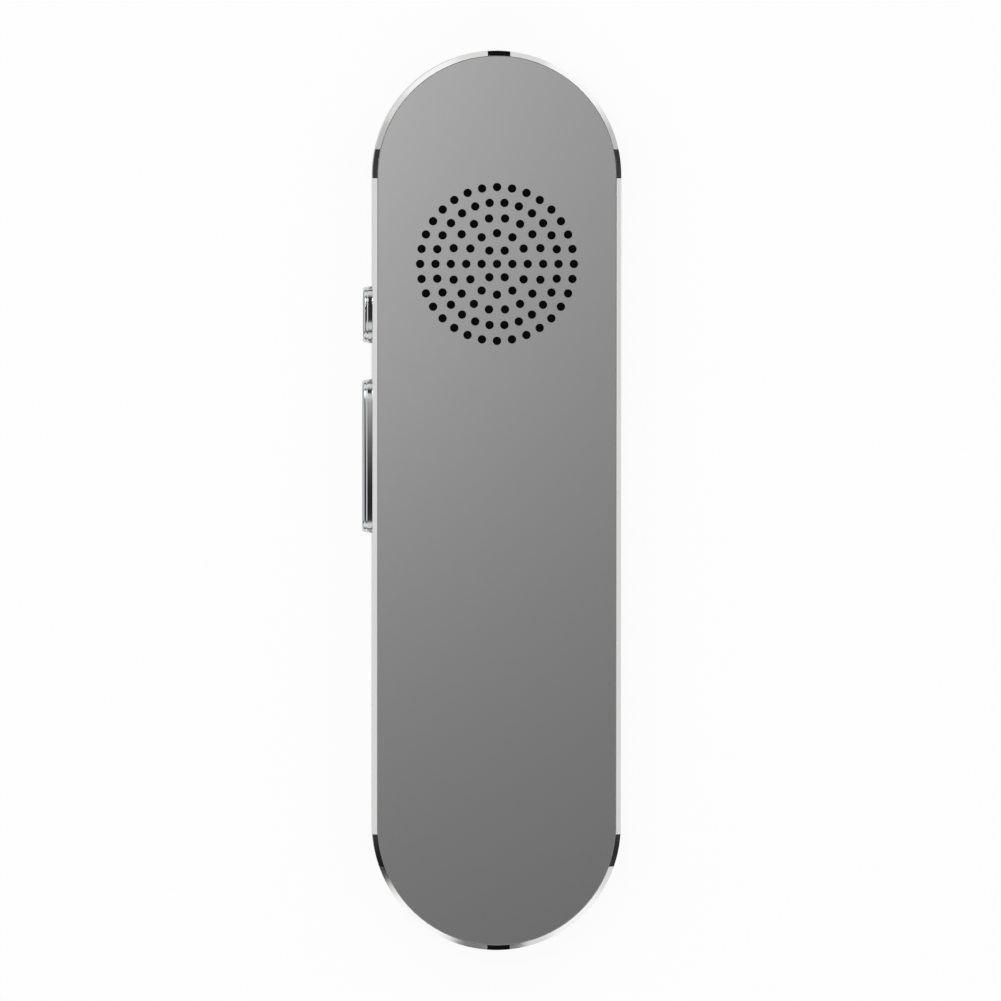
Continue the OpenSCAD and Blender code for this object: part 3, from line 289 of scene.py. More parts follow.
def rounded(corners, radii, steps=8, hold=0.02 * MM):
    """An open outline in a plane with each inner corner turned into an arc.

    The arc touches both sides radius / tan(half the corner's angle) from the corner. A point
    is added the hold's length before and after it, so that the flats next to it shade flat.
    """
    corners = np.asarray(corners, float)
    points = [corners[:1]]
    for before, at, after, radius in zip(corners, corners[1:], corners[2:], radii):
        a, b = ((side - at) / np.linalg.norm(side - at) for side in (before, after))
        half = np.arccos(np.clip(a @ b, -1, 1)) / 2
        reach = radius / np.tan(half)
        centre = at + (a + b) / np.linalg.norm(a + b) * radius / np.sin(half)
        first, last = (at + a * reach - centre) / radius, (at + b * reach - centre) / radius
        turn = np.arccos(np.clip(first @ last, -1, 1))
        part = np.linspace(0, 1, steps + 1)[:, None]
        spoke = np.sin((1 - part) * turn) * first + np.sin(part * turn) * last
        arc = centre + radius * spoke / np.sin(turn)
        points += [at + a * (reach + hold), arc, at + b * (reach + hold)]
    return np.vstack([*points, corners[-1:]])


def pill(profile, straight, crown=0.0, turns=24, lengths=12):
    """Points of a bar with round ends that runs along x, one row for each profile point.

    A profile point is a half height and a place along x. Its row is a ring of two half circles
    of that radius, each of so many turns, whose centres are the straight apart, and of two
    straight sides between them, each of so many lengths. A ring's height falls by the crown's
    share, times the square of the place along y, which is 1 at the widest ring's ends.
    """
    cap, run = np.linspace(-np.pi / 2, np.pi / 2, turns), np.linspace(0.5, -0.5, lengths + 2)[1:-1]
    turn = np.concatenate([cap, np.full(lengths, np.pi / 2), cap + np.pi, np.full(lengths, -np.pi / 2)])
    along = np.concatenate([np.full(turns, 0.5), run, np.full(turns, -0.5), -run]) * straight
    radius, depth = profile[:, :1], profile[:, 1:]
    y = along + radius * np.cos(turn)
    reach = straight / 2 + profile[:, 0].max()
    z = radius * np.sin(turn) * (1 - crown * (y / reach) ** 2)
    return np.stack([np.broadcast_to(depth, y.shape), y, z], axis=-1)


def skin(name, grids, body):
    """One smooth piece from grids of points whose rows close on themselves.

    Each four neighbours make a face. Points that coincide, at a pole or a seam, are merged, and
    every grid that then encloses less than nothing has its faces turned over.
    """
    points, faces, start = [], [], 0
    for grid in grids:
        rows, columns = grid.shape[:2]
        index = start + np.arange(rows * columns).reshape(rows, columns)
        beside = np.roll(index, -1, axis=1)
        quads = np.stack([index[:-1], beside[:-1], beside[1:], index[1:]], axis=-1).reshape(-1, 4)
        flat = grid.reshape(-1, 3)
        a, b, c, d = (flat[quads[:, k] - start] for k in range(4))
        volume = np.einsum("ij,ij->", a, np.cross(b, c)) + np.einsum("ij,ij->", a, np.cross(c, d))
        points.append(flat)
        faces.append(quads if volume > 0 else quads[:, ::-1])
        start += rows * columns
    mesh = bpy.data.meshes.new(name)
    mesh.from_pydata(np.vstack(points), [], np.vstack(faces))
    shell = bmesh.new()
    shell.from_mesh(mesh)
    bmesh.ops.remove_doubles(shell, verts=shell.verts, dist=MERGE)
    shell.to_mesh(mesh)
    shell.free()
    mesh.shade_smooth()
    piece = bpy.data.objects.new(name, mesh)
    bpy.context.scene.collection.objects.link(piece)
    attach(piece, body)
    return piece


def finish(name, nodes, pair, gloss, relief, depth, **even):
    """Makes one material and puts it on every slot of the nodes, or of a piece that has none yet.

    The relief, a height from 0 to 1, mixes the pair of tones, runs the roughness between the two
    values of gloss, and stands up by the depth in metres. Even values go on the shader's own sockets.
    """
    surface = blank(name)
    tree = surface.node_tree
    height = relief(tree)
    low, high = ((*tone, 1.0) for tone in pair)
    tint = add(tree, "Mix", {0: height, 6: low, 7: high}, data_type="RGBA").outputs[2]
    rough = add(tree, "MapRange", {0: height, 3: gloss[0], 4: gloss[1]})
    bump = add(tree, "Bump", {"Height": height, "Distance": depth, "Strength": 1.0})
    sockets = {"Base Color": tint, "Roughness": rough, "Normal": bump}
    sockets.update({key.replace("_", " "): value for key, value in even.items()})
    add(tree, "OutputMaterial", [add(tree, "BsdfPrincipled", sockets)])
    surface.diffuse_color = high
    for node in nodes:
        if isinstance(node, str):
            for slot in frame["nodes"][node].material_slots:
                slot.material = surface
        else:
            node.data.materials.append(surface)


def tones(base, spread):
    """A colour made darker and lighter by a share of itself, for the two ends of a relief."""
    return tuple(v * (1 - spread) for v in base), tuple(min(v * (1 + spread), 1) for v in base)


class TRANSLATOR_OT_covers(bpy.types.Operator):
    """Finishes the two satin covers and the adhesive that holds them"""

    bl_idname = "translator.covers"
    bl_label = "Covers"

    def execute(self, context):
        s = context.scene.translator_metal
        # Anodised aluminium sheet, blasted with fine glass beads first: a soft even sheen with no
        # direction, and a grain that only shows close up, so its dimples are drawn a little wide.
        finish(
            "Bead-blasted anodised aluminium",
            ("front_cover", "back_cover"),
            tones(s.cover, 0.03),
            (s.cover_gloss - 0.03, s.cover_gloss + 0.03),
            lambda tree: grain(tree, s.grit),
            1.2 * MICRON,
            Metallic=1.0,
        )
        # Die-cut acrylic foam tape: matt black with open pores at its cut edge, the pores painted darker as
        # painted shade.
        finish(
            "Black acrylic foam tape",
            ("front_cover_adhesive", "back_cover_adhesive"),
            (linear("#0a0a0b"), linear("#17171a")),
            (0.75, 0.9),
            lambda tree: pebble(tree, 0.15 * MM),
            12 * MICRON,
        )
        return {"FINISHED"}


class TRANSLATOR_OT_frame(bpy.types.Operator):
    """Finishes the side frame and the six inserts that break it"""

    bl_idname = "translator.frame"
    bl_label = "Side frame and inserts"

    def execute(self, context):
        s, p = context.scene.translator_metal, context.scene.translator_plastic
        # Aluminium ring, milled, polished and clear anodised: a bright soft mirror with faint
        # polishing lines running round it.
        finish(
            "Polished clear-anodised aluminium",
            ("side_frame",),
            tones(s.frame, 0.015),
            (s.frame_gloss - 0.03, s.frame_gloss + 0.04),
            lambda tree: polish(tree, 0.12 * MM),
            0.25 * MICRON,
            Metallic=1.0,
        )
        # Nylon filled with glass, moulded into the gap so that radio passes: deep black, its skin
        # almost without shine.
        finish(
            "Moulded black nylon",
            ("top_insert", "bottom_insert"),
            tones(p.end_insert, 0.2),
            (0.34, 0.44),
            lambda tree: grain(tree, 0.2 * MM),
            1.5 * MICRON,
            IOR=1.5,
            Specular_IOR_Level=0.06,
        )
        # The same nylon, grey and buffed level with the frame: a dull gloss.
        finish(
            "Buffed grey nylon",
            ("upper_left_insert", "upper_right_insert", "lower_left_insert", "lower_right_insert"),
            tones(p.side_insert, 0.12),
            (0.2, 0.3),
            lambda tree: polish(tree, 0.15 * MM),
            0.6 * MICRON,
            IOR=1.5,
        )
        # Light guide of clear acrylic, injection moulded and fire polished: glassy, faintly uneven.
        finish(
            "Clear moulded acrylic",
            ("light_guide",),
            (linear("#f2f5f7"), linear("#ffffff")),
            (0.03, 0.08),
            lambda tree: grain(tree, 0.6 * MM),
            0.5 * MICRON,
            IOR=1.49,
            Transmission_Weight=1.0,
        )
        return {"FINISHED"}


class TRANSLATOR_OT_keys(bpy.types.Operator):
    """Builds the two keys and finishes them, their switches and the switches' plungers"""

    bl_idname = "translator.keys"
    bl_label = "Keys and switches"

    def execute(self, context):
        s = context.scene.translator_metal
        # Chrome electroplated over moulded ABS: a near mirror, with the faint waviness that the
        # plastic under it leaves.
        finish(
            "Chrome plate on ABS",
            [self.make_key(context.scene.translator_keys, name) for name in ("short_key", "long_key")],
            tones(s.key, 0.01),
            (s.key_gloss - 0.01, s.key_gloss + 0.01),
            lambda tree: grain(tree, 1.6 * MM, 0.0),
            1 * MICRON,
            Metallic=1.0,
        )
        # Tactile switch: a nylon base under a stamped cover, grey and slightly waxy.
        finish(
            "Grey switch nylon",
            ("short_key_switch", "long_key_switch"),
            (linear("#3b3d40"), linear("#46484b")),
            (0.4, 0.5),
            lambda tree: grain(tree, 0.1 * MM),
            1.5 * MICRON,
        )
        # Acetal plunger: moulded white, slippery and slightly see-through.
        finish(
            "White acetal",
            ("short_switch_plunger", "long_switch_plunger"),
            (linear("#dcdad2"), linear("#ebe9e2")),
            (0.3, 0.38),
            lambda tree: grain(tree, 0.2 * MM),
            1 * MICRON,
            Subsurface_Weight=0.2,
            Subsurface_Scale=0.3 * MM,
        )
        return {"FINISHED"}

    def make_key(self, k, name):
        """A key whose section runs from the nub and the flange behind the wall, out through the wall,
        over a slim step and a rounded edge to a face that swells a little at its middle."""
        low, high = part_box(name)
        half = (high.z - low.z) / 2 - k.lip
        straight = high.y - low.y - 2 * (half + k.lip)
        back, face = high.x - k.nub, low.x
        slim, edge = half - k.step, SMALL_EDGE
        corners = [
            (0, back),
            (half + k.lip, back),
            (half + k.lip, back - k.flange),
            (half, back - k.flange),
            (half, face + k.step_at + k.step_length),
            (slim, face + k.step_at),
            (slim, face + k.swell),
            (0, face),
        ]
        shell = rounded(corners, (edge, edge, edge, edge, edge, k.rounding))
        # The face falls from its middle as the square of the way to its rim.
        inner = np.linspace(1, 0, 7)[1:, None]
        rim = shell[-2]
        face_rings = np.hstack([rim[0] * inner, face + (rim[1] - face) * inner**2])
        shell = np.vstack([shell[:-1], face_rings])
        nub = k.nub_width / 2
        pin = rounded([(0, high.x), (nub, high.x), (nub, back - edge), (0, back - edge)], (edge, edge), 4)
        middle = np.array([0, (low.y + high.y) / 2, (low.z + high.z) / 2])
        grids = [pill(shell, straight, k.crown) + middle, pill(pin, 0.0, 0.0, 16, 1) + middle]
        piece = skin(name.replace("key", "chrome_key"), grids, name + "_body")
        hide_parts(name)
        return piece


class TRANSLATOR_OT_speaker(bpy.types.Operator):
    """Finishes the speaker, its cloth, its gasket and its holder"""

    bl_idname = "translator.speaker"
    bl_label = "Speaker"

    def execute(self, context):
        p = context.scene.translator_plastic
        # Woven polyester acoustic cloth, dyed black: matt, its threads drawn at twice their spacing, with
        # painted shade darkening it to near black between the threads.
        finish(
            "Black woven polyester",
            ("speaker_mesh",),
            # The low tone, 3% of the cloth's colour, is painted shade between the threads.
            (tuple(v * 0.03 for v in p.cloth), p.cloth),
            (0.9, 0.8),
            lambda tree: weave(tree, p.thread),
            40 * MICRON,
            Specular_IOR_Level=0.08,
        )
        # Open-cell polyurethane foam: dark, with pores that are painted darker still as painted shade.
        finish(
            "Open-cell polyurethane foam",
            ("speaker_gasket",),
            (linear("#050506"), linear("#232326")),
            (0.85, 0.95),
            lambda tree: pebble(tree, 0.25 * MM),
            60 * MICRON,
        )
        # Glass-filled ABS ring, moulded: black with a fine flow grain.
        finish(
            "Moulded black ABS",
            ("speaker_front_ring",),
            (linear("#121214"), linear("#1d1d20")),
            (0.4, 0.5),
            lambda tree: grain(tree, 0.15 * MM),
            2 * MICRON,
        )
        # Steel basket, pressed and coated by electrophoresis: satin black over metal.
        finish(
            "Black e-coated pressed steel",
            ("speaker_basket",),
            (linear("#1b1c1e"), linear("#26272a")),
            (0.32, 0.42),
            lambda tree: grain(tree, 0.3 * MM),
            3 * MICRON,
            Coat_Weight=0.3,
        )
        # Low-carbon steel, turned and plated with zinc: a cool grey metal with fine turning marks.
        finish(
            "Zinc-plated steel",
            ("speaker_yoke", "speaker_pole_plate"),
            (linear("#a3a7ab"), linear("#bcc0c4")),
            (0.28, 0.42),
            lambda tree: grain(tree, 0.2 * MM, 4.0),
            2 * MICRON,
            Metallic=1.0,
        )
        # Neodymium magnet plated with nickel: warm, bright and smooth.
        finish(
            "Nickel-plated neodymium",
            ("speaker_magnet",),
            (linear("#b9b4aa"), linear("#c8c4ba")),
            (0.16, 0.24),
            lambda tree: grain(tree, 0.5 * MM),
            1 * MICRON,
            Metallic=1.0,
        )
        # Enamelled copper wire, wound in layers: each turn a fine ridge, drawn 0.1 mm apart, with painted
        # shade darkening the grooves between turns.
        finish(
            "Enamelled copper winding",
            ("voice_coil",),
            # The dark low tone is painted shade in the grooves between turns.
            (linear("#5f2613"), linear("#c97a4a")),
            (0.4, 0.22),
            lambda tree: wave(tree, 0.1 * MM, 2),
            20 * MICRON,
            Metallic=1.0,
            Coat_Weight=0.5,
        )
        # Polyester film, thermoformed: dark and smooth with a sheen.
        finish(
            "Thermoformed polyester film",
            ("speaker_cone",),
            (linear("#18191b"), linear("#222326")),
            (0.25, 0.35),
            lambda tree: grain(tree, 0.8 * MM),
            4 * MICRON,
            Coat_Weight=0.4,
        )
        # Rubber roll surround, pressed: soft black with a light bloom.
        finish(
            "Pressed butyl rubber",
            ("speaker_surround",),
            (linear("#0f0f10"), linear("#1c1c1e")),
            (0.55, 0.7),
            lambda tree: grain(tree, 0.2 * MM),
            3 * MICRON,
            Sheen_Weight=0.15,
        )
        # ABS holder and chassis, moulded in a spark-eroded tool: matt with a fine even pebble.
        finish(
            "Moulded ABS, spark-eroded texture",
            ("speaker_holder", "inner_chassis"),
            tones(p.inside, 0.15),
            (0.5, 0.62),
            lambda tree: pebble(tree, p.pebble),
            6 * MICRON,
        )
        return {"FINISHED"}


class TRANSLATOR_OT_boards(bpy.types.Operator):
    """Finishes the boards and what is soldered to them"""

    bl_idname = "translator.boards"
    bl_label = "Boards and chips"

    def execute(self, context):
        s = context.scene.translator_inside
        # Glass-epoxy laminate under green solder mask: glossy, with raised copper traces showing paler.
        finish(
            "Green solder mask on glass epoxy",
            ("main_board", "charging_board", "protection_board"),
            (s.board, s.trace),
            (0.28, 0.36),
            lambda tree: traces(tree, s.pitch),
            30 * MICRON,
            Coat_Weight=0.3,
        )
        # Epoxy moulding compound with silica: charcoal, and matt from its ground mould.
        finish(
            "Silica-filled epoxy",
            ("bluetooth_chip", "flash_chip", "audio_amplifier", "power_chip"),
            (linear("#1a1b1c"), linear("#2a2b2d")),
            (0.55, 0.7),
            lambda tree: grain(tree, 0.08 * MM),
            3 * MICRON,
        )
        # Nickel silver sheet, pressed and tinned: pale, with a fine rolled grain along the board.
        finish(
            "Tinned nickel silver",
            ("shield_can", "crystal"),
            (linear("#b4b5b3"), linear("#cbccca")),
            (0.26, 0.4),
            lambda tree: grain(tree, 0.25 * MM, 4.0),
            1.5 * MICRON,
            Metallic=1.0,
        )
        # Barium titanate ceramic, fired: tan and slightly chalky.
        finish(
            "Fired tan ceramic",
            ("board_capacitors",),
            (linear("#8c6a4a"), linear("#a5825e")),
            (0.4, 0.55),
            lambda tree: grain(tree, 0.1 * MM),
            2 * MICRON,
        )
        # Low-temperature ceramic, fired and glazed: cool white with a dull shine.
        finish(
            "Glazed white ceramic",
            ("chip_antenna",),
            (linear("#c9d0d2"), linear("#dfe4e5")),
            (0.25, 0.35),
            lambda tree: grain(tree, 0.3 * MM),
            1.5 * MICRON,
            Coat_Weight=0.3,
        )
        # Clear epoxy cast round the light source: pale yellow and glassy.
        finish(
            "Cast clear epoxy",
            ("status_led",),
            (linear("#d9d6b0"), linear("#efecd2")),
            (0.12, 0.2),
            lambda tree: grain(tree, 0.3 * MM),
            1 * MICRON,
            Subsurface_Weight=0.4,
            Subsurface_Scale=0.4 * MM,
        )
        # Heat-stable nylon, moulded: ivory and slightly waxy.
        finish(
            "Ivory connector nylon",
            ("battery_socket", "battery_plug", "flex_sockets"),
            (linear("#cfc7b0"), linear("#ded7c2")),
            (0.38, 0.48),
            lambda tree: grain(tree, 0.15 * MM),
            2 * MICRON,
            Subsurface_Weight=0.15,
            Subsurface_Scale=0.3 * MM,
        )
        # Polyimide film over etched copper lines along the cable: amber with a copper ribbing.
        finish(
            "Polyimide film on copper",
            ("flex_cable",),
            (tuple(v * 0.6 for v in s.film), s.film),
            (0.22, 0.32),
            lambda tree: wave(tree, 0.5 * MM, 0),
            8 * MICRON,
            Coat_Weight=0.5,
        )
        return {"FINISHED"}


class TRANSLATOR_OT_battery(bpy.types.Operator):
    """Finishes the battery, its tape and every wire"""

    bl_idname = "translator.battery"
    bl_label = "Battery and wires"

    def execute(self, context):
        s = context.scene.translator_inside
        # Aluminium laminate film, drawn over the cell: a dull silver with soft creases.
        finish(
            "Drawn aluminium laminate",
            ("battery_cell",),
            tones(s.pouch, 0.08),
            (0.3, 0.42),
            lambda tree: grain(tree, 3 * MM, 3.0),
            60 * MICRON,
            Metallic=0.85,
        )
        # Polyethylene foam tape: white and matt.
        finish(
            "White foam tape",
            ("battery_tape",),
            (linear("#c7c8c4"), linear("#dedfdb")),
            (0.75, 0.9),
            lambda tree: pebble(tree, 0.2 * MM),
            15 * MICRON,
        )
        # Wire jacket of silicone, extruded over strands: red and slightly dusty.
        finish(
            "Red silicone wire jacket",
            ("battery_leads",),
            tones(s.wire, 0.12),
            (0.45, 0.58),
            lambda tree: grain(tree, 0.15 * MM),
            2 * MICRON,
        )
        # Wire jacket of PVC, extruded: black with a soft gloss.
        finish(
            "Black PVC wire jacket",
            ("speaker_leads", "microphone_leads"),
            (linear("#131315"), linear("#1e1e21")),
            (0.35, 0.45),
            lambda tree: grain(tree, 0.15 * MM),
            1.5 * MICRON,
        )
        return {"FINISHED"}


class TRANSLATOR_OT_port(bpy.types.Operator):
    """Finishes the charging port, the microphone and the screws"""

    bl_idname = "translator.port"
    bl_label = "Port, microphone and screws"

    def execute(self, context):
        # Stainless steel shell, stamped, folded and plated with nickel: bright with fine drawn lines.
        finish(
            "Nickel-plated stainless steel",
            ("usb_shell",),
            (linear("#aaaba9"), linear("#c6c7c5")),
            (0.18, 0.32),
            lambda tree: grain(tree, 0.2 * MM, 4.0),
            1.5 * MICRON,
            Metallic=1.0,
        )
        # Liquid crystal polymer, moulded: black with a matt flow grain.
        finish(
            "Black liquid crystal polymer",
            ("usb_insulator",),
            (linear("#0e0e0f"), linear("#1b1b1d")),
            (0.45, 0.6),
            lambda tree: grain(tree, 0.12 * MM),
            2 * MICRON,
        )
        # Phosphor bronze plated with gold: warm yellow metal, finely rolled.
        finish(
            "Gold-plated phosphor bronze",
            ("usb_contacts",),
            (linear("#c99a3c"), linear("#e6bd62")),
            (0.18, 0.28),
            lambda tree: grain(tree, 0.1 * MM),
            1 * MICRON,
            Metallic=1.0,
        )
        # Aluminium capsule, deep drawn: pale satin metal.
        finish(
            "Deep-drawn aluminium",
            ("microphone",),
            (linear("#b7b9bb"), linear("#cdcfd1")),
            (0.3, 0.42),
            lambda tree: polish(tree, 0.1 * MM),
            1.5 * MICRON,
            Metallic=1.0,
        )
        # Silicone rubber boot, compression moulded: black and dead matt.
        finish(
            "Moulded silicone rubber",
            ("microphone_boot",),
            (linear("#101011"), linear("#1d1d1f")),
            (0.65, 0.8),
            lambda tree: grain(tree, 0.15 * MM),
            3 * MICRON,
            Sheen_Weight=0.2,
        )
        # Carbon steel screws, rolled thread, plated with black nickel: dark smooth metal.
        finish(
            "Black nickel on carbon steel",
            ("main_board_screws", "charging_board_screws"),
            (linear("#4a4a4d"), linear("#626266")),
            (0.25, 0.36),
            lambda tree: grain(tree, 0.15 * MM),
            1.5 * MICRON,
            Metallic=1.0,
        )
        return {"FINISHED"}


# Each lamp: name, width and depth, place and the point it faces in metres, and its power in watts.
LAMPS = (
    ("left_lamp", 0.12, 0.12, (-0.11, 0.11, 0.6), (0, 0, 0), 0.7),
    ("right_lamp", 0.15, 0.15, (0.14, 0.1, 0.6), (0, 0, 0), 0.06),
)
# The level of the dark patch overhead. How far its middle lies from the zenith towards +Y, and the
# angles from its middle between which the studio turns white, all in degrees.
DARK = 0.03
OVERHEAD = (6, 8, 49)
# The elevations between which the studio rises from its dark skirting, in degrees, and its level.
SKIRTING = (6, 13, 0.08)
# Each card round the studio: name, azimuth from +X and elevation of its middle, half its width and
# height in degrees, where its soft edge ends, and its level.
CARDS = (
    ("right shoulder card", 48, 26, 20, 26, 1.35),
    ("left shoulder card", 123, 26, 18, 26, 1.3),
    ("left knee card", 233, 26, 20, 26, 1.35),
    ("right knee card", 311, 26, 18, 26, 1.3),
    ("right flag", 14, 26, 12, 22, 0.72),
    ("left flag", 163, 26, 12, 22, 0.68),
    ("left foot flag", 201, 24, 12, 24, 0.02),
    ("side flag", 180, 5, 14, 14, 0.1),
    ("right foot flag", 346, 26, 6.5, 24, 0.1),
    ("left heel flag", 260, 8, 9, 22, 0.06),
    ("right heel flag", 279, 8, 5.5, 22, 0.06),
)
# The share of a card's half width and height at which its soft edge starts.
CORE = 0.6
# The card is no lamp: its glow is a painted reflection on the long key's chrome.
# The card over the long key: its height, and its edges across and along, in metres. It glows for
# metal alone: the dark patch's level, plus its own level times this power of the way along it,
# which is 1 past the part of its length.
CARD = (0.12, (-0.024, -0.0125), (-0.006, 0.0232), 0.026, 2.2, 0.9)
# The floor lies this far under the rest face, and is this bright for metal where it meets the object: a
# painted contact shade.
FLOOR_GAP = 0.02 * MM
PAINTED_CONTACT_SHADE = 0.25
# The camera's film in millimetres, its nearest and farthest sight in metres, and how far under the
# top of the front cover its view is measured.
FILM = 36
SIGHT = (0.05, 20)
RIM_DEPTH = 0.7 * MM


class TRANSLATOR_OT_stage(bpy.types.Operator):
    """Makes the floor, the world, the lamps and the camera"""

    bl_idname = "translator.stage"
    bl_label = "Stage"

    def execute(self, context):
        s = context.scene.translator_stage
        scene = context.scene
        self.make_floor(s)
        self.make_world(scene)
        for name, width, depth, at, towards, power in LAMPS:
            lamp = bpy.data.lights.new(name, "AREA")
            lamp.shape, lamp.size, lamp.size_y, lamp.energy = "RECTANGLE", width, depth, power
            holder = bpy.data.objects.new(name, lamp)
            holder.location, holder.visible_camera = at, False
            holder.rotation_euler = (Vector(towards) - Vector(at)).to_track_quat("-Z", "Y").to_euler()
            scene.collection.objects.link(holder)
        self.make_card()
        self.make_camera(scene, s)
        scene.view_settings.view_transform = "Standard"
        return {"FINISHED"}

    def make_floor(self, s):
        """A flat square just under the rest face. The camera sees it as paper white with a share of its real
        shade, so the shadow stays. Metal and glass see a white glow with a painted shade close to the object,
        which falls to a painted dark far from it, and other rays see the paper's own colour."""
        half, height = s.floor_size / 2, CAD_BOX[0].z - FLOOR_GAP
        # Matt white paper sweep: even, with no shine. For metal it glows, with painted shade close to the
        # object and a painted fall to dark far from it.
        paper = blank("Matt white paper")
        tree = paper.node_tree
        path = add(tree, "LightPath").outputs
        bent = add(tree, "Math", [path["Is Glossy Ray"], path["Is Transmission Ray"]], operation="MAXIMUM")
        seen = add(tree, "Math", [path["Is Camera Ray"], 1 - s.shadow], operation="MULTIPLY")
        # The distance from the case's centre line, whose outline lies at the radius of its round ends.
        radius = CAD_BOX[1].x
        middle = CAD_BOX[1].y - radius
        apart = add(tree, "SeparateXYZ", [place(tree)]).outputs
        beyond = add(tree, "Math", [apart[1]], operation="ABSOLUTE")
        beyond = add(tree, "Math", [beyond, middle], operation="SUBTRACT")
        beyond = add(tree, "Math", [beyond, 0.0], operation="MAXIMUM")
        squares = [add(tree, "Math", [part, 2.0], operation="POWER") for part in (apart[0], beyond)]
        away = add(tree, "Math", squares, operation="ADD")
        away = add(tree, "Math", [away], operation="SQRT")
        # Painted shade for metal: the glow dims to the contact level at the outline and to the skirting's
        # level far off.
        near = [away, radius, radius + s.contact, PAINTED_CONTACT_SHADE, 1.0]
        far = [away, radius + s.lit, radius + s.unlit, 1.0, SKIRTING[2]]
        painted_floor_shades = [add(tree, "MapRange", part, interpolation_type="SMOOTHSTEP") for part in (near, far)]
        level = add(tree, "Math", painted_floor_shades, operation="MULTIPLY")
        level = add(tree, "Mix", {0: bent, 2: 1.0, 3: level}, data_type="FLOAT")
        shade = add(tree, "BsdfDiffuse", {"Color": (*s.floor, 1)})
        glow = add(tree, "Emission", {"Color": (1, 1, 1, 1), "Strength": level})
        white = add(tree, "Math", [seen, bent], operation="MAXIMUM")
        add(tree, "OutputMaterial", [add(tree, "MixShader", [white, shade, glow])])
        corners = [(x, y, height) for x, y in ((-half, -half), (half, -half), (half, half), (-half, half))]
        floor = self.make_face("floor", corners, paper)

    def make_card(self):
        """A small card that only mirrors see, whose glow rises smoothly along it: no lamp, but a painted
        reflection on the long key.
        """
        height, across, along, part, power, level = CARD
        # Glowing card with no lamp behind it: a painted reflection, an even glow that fades towards one edge.
        acrylic = blank("Painted reflection card")
        tree = acrylic.node_tree
        y = add(tree, "SeparateXYZ", [place(tree)]).outputs[1]
        painted_reflection_ramp = add(tree, "MapRange", [y, along[0], along[0] + part])
        painted_reflection_ramp = add(tree, "Math", [painted_reflection_ramp, power], operation="POWER")
        painted_reflection_ramp = add(tree, "Math", [painted_reflection_ramp, level, DARK], operation="MULTIPLY_ADD")
        glow = add(tree, "Emission", {"Color": (1, 1, 1, 1), "Strength": painted_reflection_ramp})
        add(tree, "OutputMaterial", [glow])
        corners = [(across[i], along[j], height) for i, j in ((0, 0), (0, 1), (1, 1), (1, 0))]
        card = self.make_face("card", corners, acrylic)
        for kind in ("camera", "diffuse", "transmission", "shadow"):
            setattr(card, "visible_" + kind, False)

    def make_face(self, name, corners, surface):
        """One flat face with a material."""
        mesh = bpy.data.meshes.new(name)
        mesh.from_pydata(corners, [], [range(len(corners))])
        mesh.materials.append(surface)
        face = bpy.data.objects.new(name, mesh)
        bpy.context.scene.collection.objects.link(face)
        return face

    def make_world(self, scene):
        """A white studio with a dark patch overhead and a dark skirting, and a few cards round it that
        are brighter or darker. The camera sees white all over."""
        world = bpy.data.worlds.new("Studio")
        world.use_nodes = True
        tree = world.node_tree
        tree.nodes.clear()
        way = add(tree, "SeparateXYZ", [add(tree, "TexCoord").outputs["Generated"]]).outputs
        high = add(tree, "Math", [way[2]], operation="ARCSINE")
        turn = add(tree, "Math", [way[1], way[0]], operation="ARCTAN2")
        lean, *turning = (math.radians(part) for part in OVERHEAD)
        off = add(tree, "Math", [way[2], math.cos(lean)], operation="MULTIPLY")
        off = add(tree, "Math", [way[1], math.sin(lean), off], operation="MULTIPLY_ADD")
        off = add(tree, "Math", [off], operation="ARCCOSINE")
        rising = (math.radians(part) for part in SKIRTING[:2])
        ends = [off, *turning, DARK, 1.0], [high, *rising, SKIRTING[2], 1.0]
        levels = [add(tree, "MapRange", part, interpolation_type="SMOOTHSTEP") for part in ends]
        level = add(tree, "Math", levels, operation="MULTIPLY")
        for _, azimuth, elevation, width, height, own in CARDS:
            # The angle between the way and the card's middle, round and up, taken the short way.
            off = add(tree, "Math", [turn, math.radians(azimuth)], operation="SUBTRACT")
            off = add(tree, "Math", [off, math.pi, -math.pi], operation="WRAP")
            rise = add(tree, "Math", [high, math.radians(elevation)], operation="SUBTRACT")
            masks = []
            for angles, reach in ((off, width), (rise, height)):
                angles = add(tree, "Math", [angles], operation="ABSOLUTE")
                ends = [angles, math.radians(CORE * reach), math.radians(reach), 1.0, 0.0]
                masks.append(add(tree, "MapRange", ends, interpolation_type="SMOOTHSTEP"))
            mask = add(tree, "Math", masks, operation="MULTIPLY")
            level = add(tree, "Mix", {0: mask, 2: level, 3: own}, data_type="FLOAT")
        seen = add(tree, "LightPath").outputs["Is Camera Ray"]
        level = add(tree, "Mix", {0: seen, 2: level, 3: 1.0}, data_type="FLOAT")
        add(tree, "OutputWorld", [add(tree, "Background", {"Color": (1, 1, 1, 1), "Strength": level})])
        scene.world = world

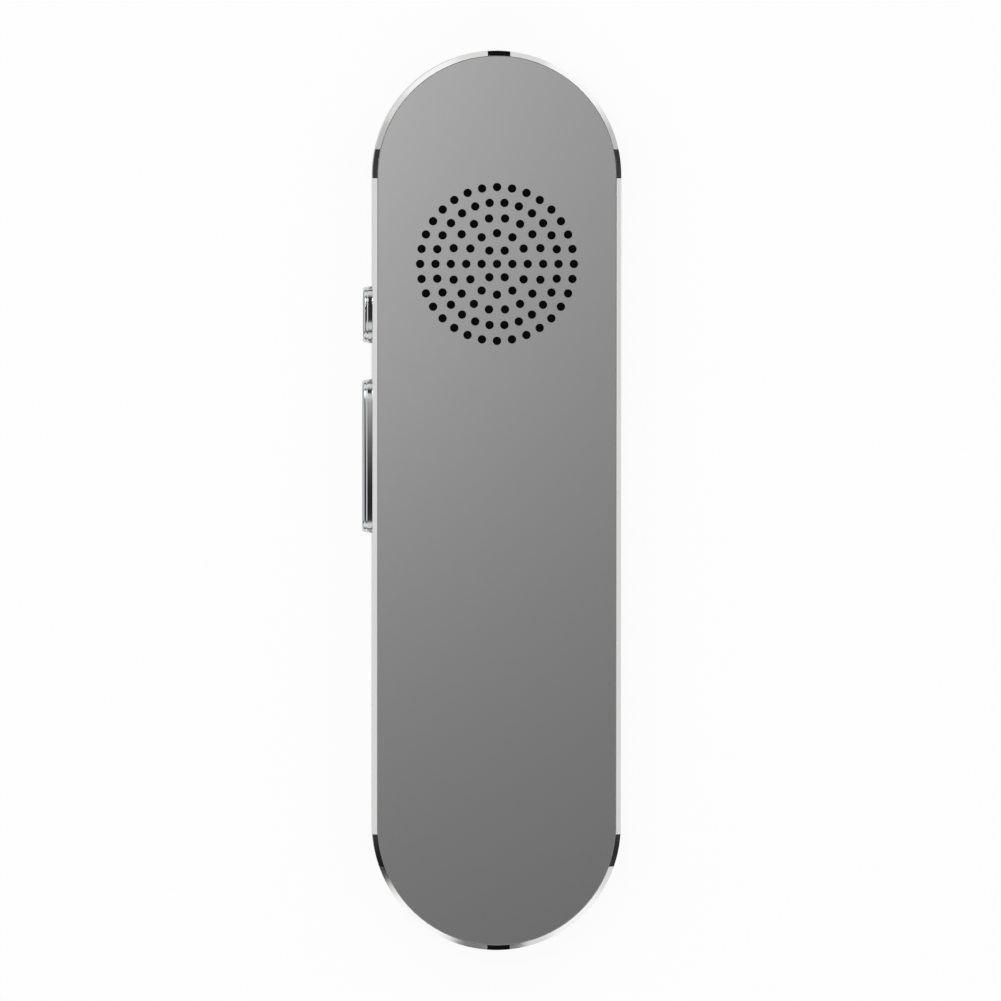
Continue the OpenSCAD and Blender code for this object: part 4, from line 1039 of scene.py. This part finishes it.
    def make_camera(self, scene, s):
        """A long lens above the front cover, leaning a little towards the keys and the speaker end."""
        lens = bpy.data.cameras.new("camera")
        lens.sensor_width = FILM
        lens.lens = FILM * s.distance / s.view_width
        lens.clip_start, lens.clip_end = SIGHT
        camera = bpy.data.objects.new("camera", lens)
        aim = Vector((s.aim_x, s.aim_y, COVER_TOP - RIM_DEPTH))
        back = Vector((-math.tan(s.lean_x), math.tan(s.lean_y), 1)).normalized()
        up = back.cross(Vector((1, 0, 0))).normalized()
        camera.location = aim + back * s.distance
        camera.rotation_euler = Matrix((up.cross(back), up, back)).transposed().to_euler()
        scene.collection.objects.link(camera)
        scene.camera = camera


GROUPS = {
    "translator_metal": TranslatorMetal,
    "translator_keys": TranslatorKeys,
    "translator_plastic": TranslatorPlastic,
    "translator_inside": TranslatorInside,
    "translator_stage": TranslatorStage,
}
STEPS = (
    TRANSLATOR_OT_covers,
    TRANSLATOR_OT_frame,
    TRANSLATOR_OT_keys,
    TRANSLATOR_OT_speaker,
    TRANSLATOR_OT_boards,
    TRANSLATOR_OT_battery,
    TRANSLATOR_OT_port,
    TRANSLATOR_OT_stage,
)


class TRANSLATOR_PT_panel(bpy.types.Panel):
    """Lists the steps and the settings they use"""

    bl_idname = "TRANSLATOR_PT_panel"
    bl_label = "Handheld translator"
    bl_space_type = "VIEW_3D"
    bl_region_type = "UI"
    bl_category = "Translator"

    def draw(self, context):
        for step in STEPS:
            self.layout.operator(step.bl_idname)
        for name, group in GROUPS.items():
            box = self.layout.box()
            box.label(text=name.replace("translator_", "").capitalize())
            for key in group.__annotations__:
                box.prop(getattr(context.scene, name), key)


def register():
    """Registers the settings, the operators and the panel."""
    for name, group in GROUPS.items():
        bpy.utils.register_class(group)
        setattr(bpy.types.Scene, name, bpy.props.PointerProperty(type=group))
    for step in (*STEPS, TRANSLATOR_PT_panel):
        bpy.utils.register_class(step)


def unregister():
    """Removes what register added, last first."""
    for step in reversed((*STEPS, TRANSLATOR_PT_panel)):
        bpy.utils.unregister_class(step)
    for name, group in reversed(GROUPS.items()):
        delattr(bpy.types.Scene, name)
        bpy.utils.unregister_class(group)


def main():
    register()
    for step in STEPS:
        group, name = step.bl_idname.split(".")
        getattr(getattr(bpy.ops, group), name)()


if __name__ == "__main__":
    main()
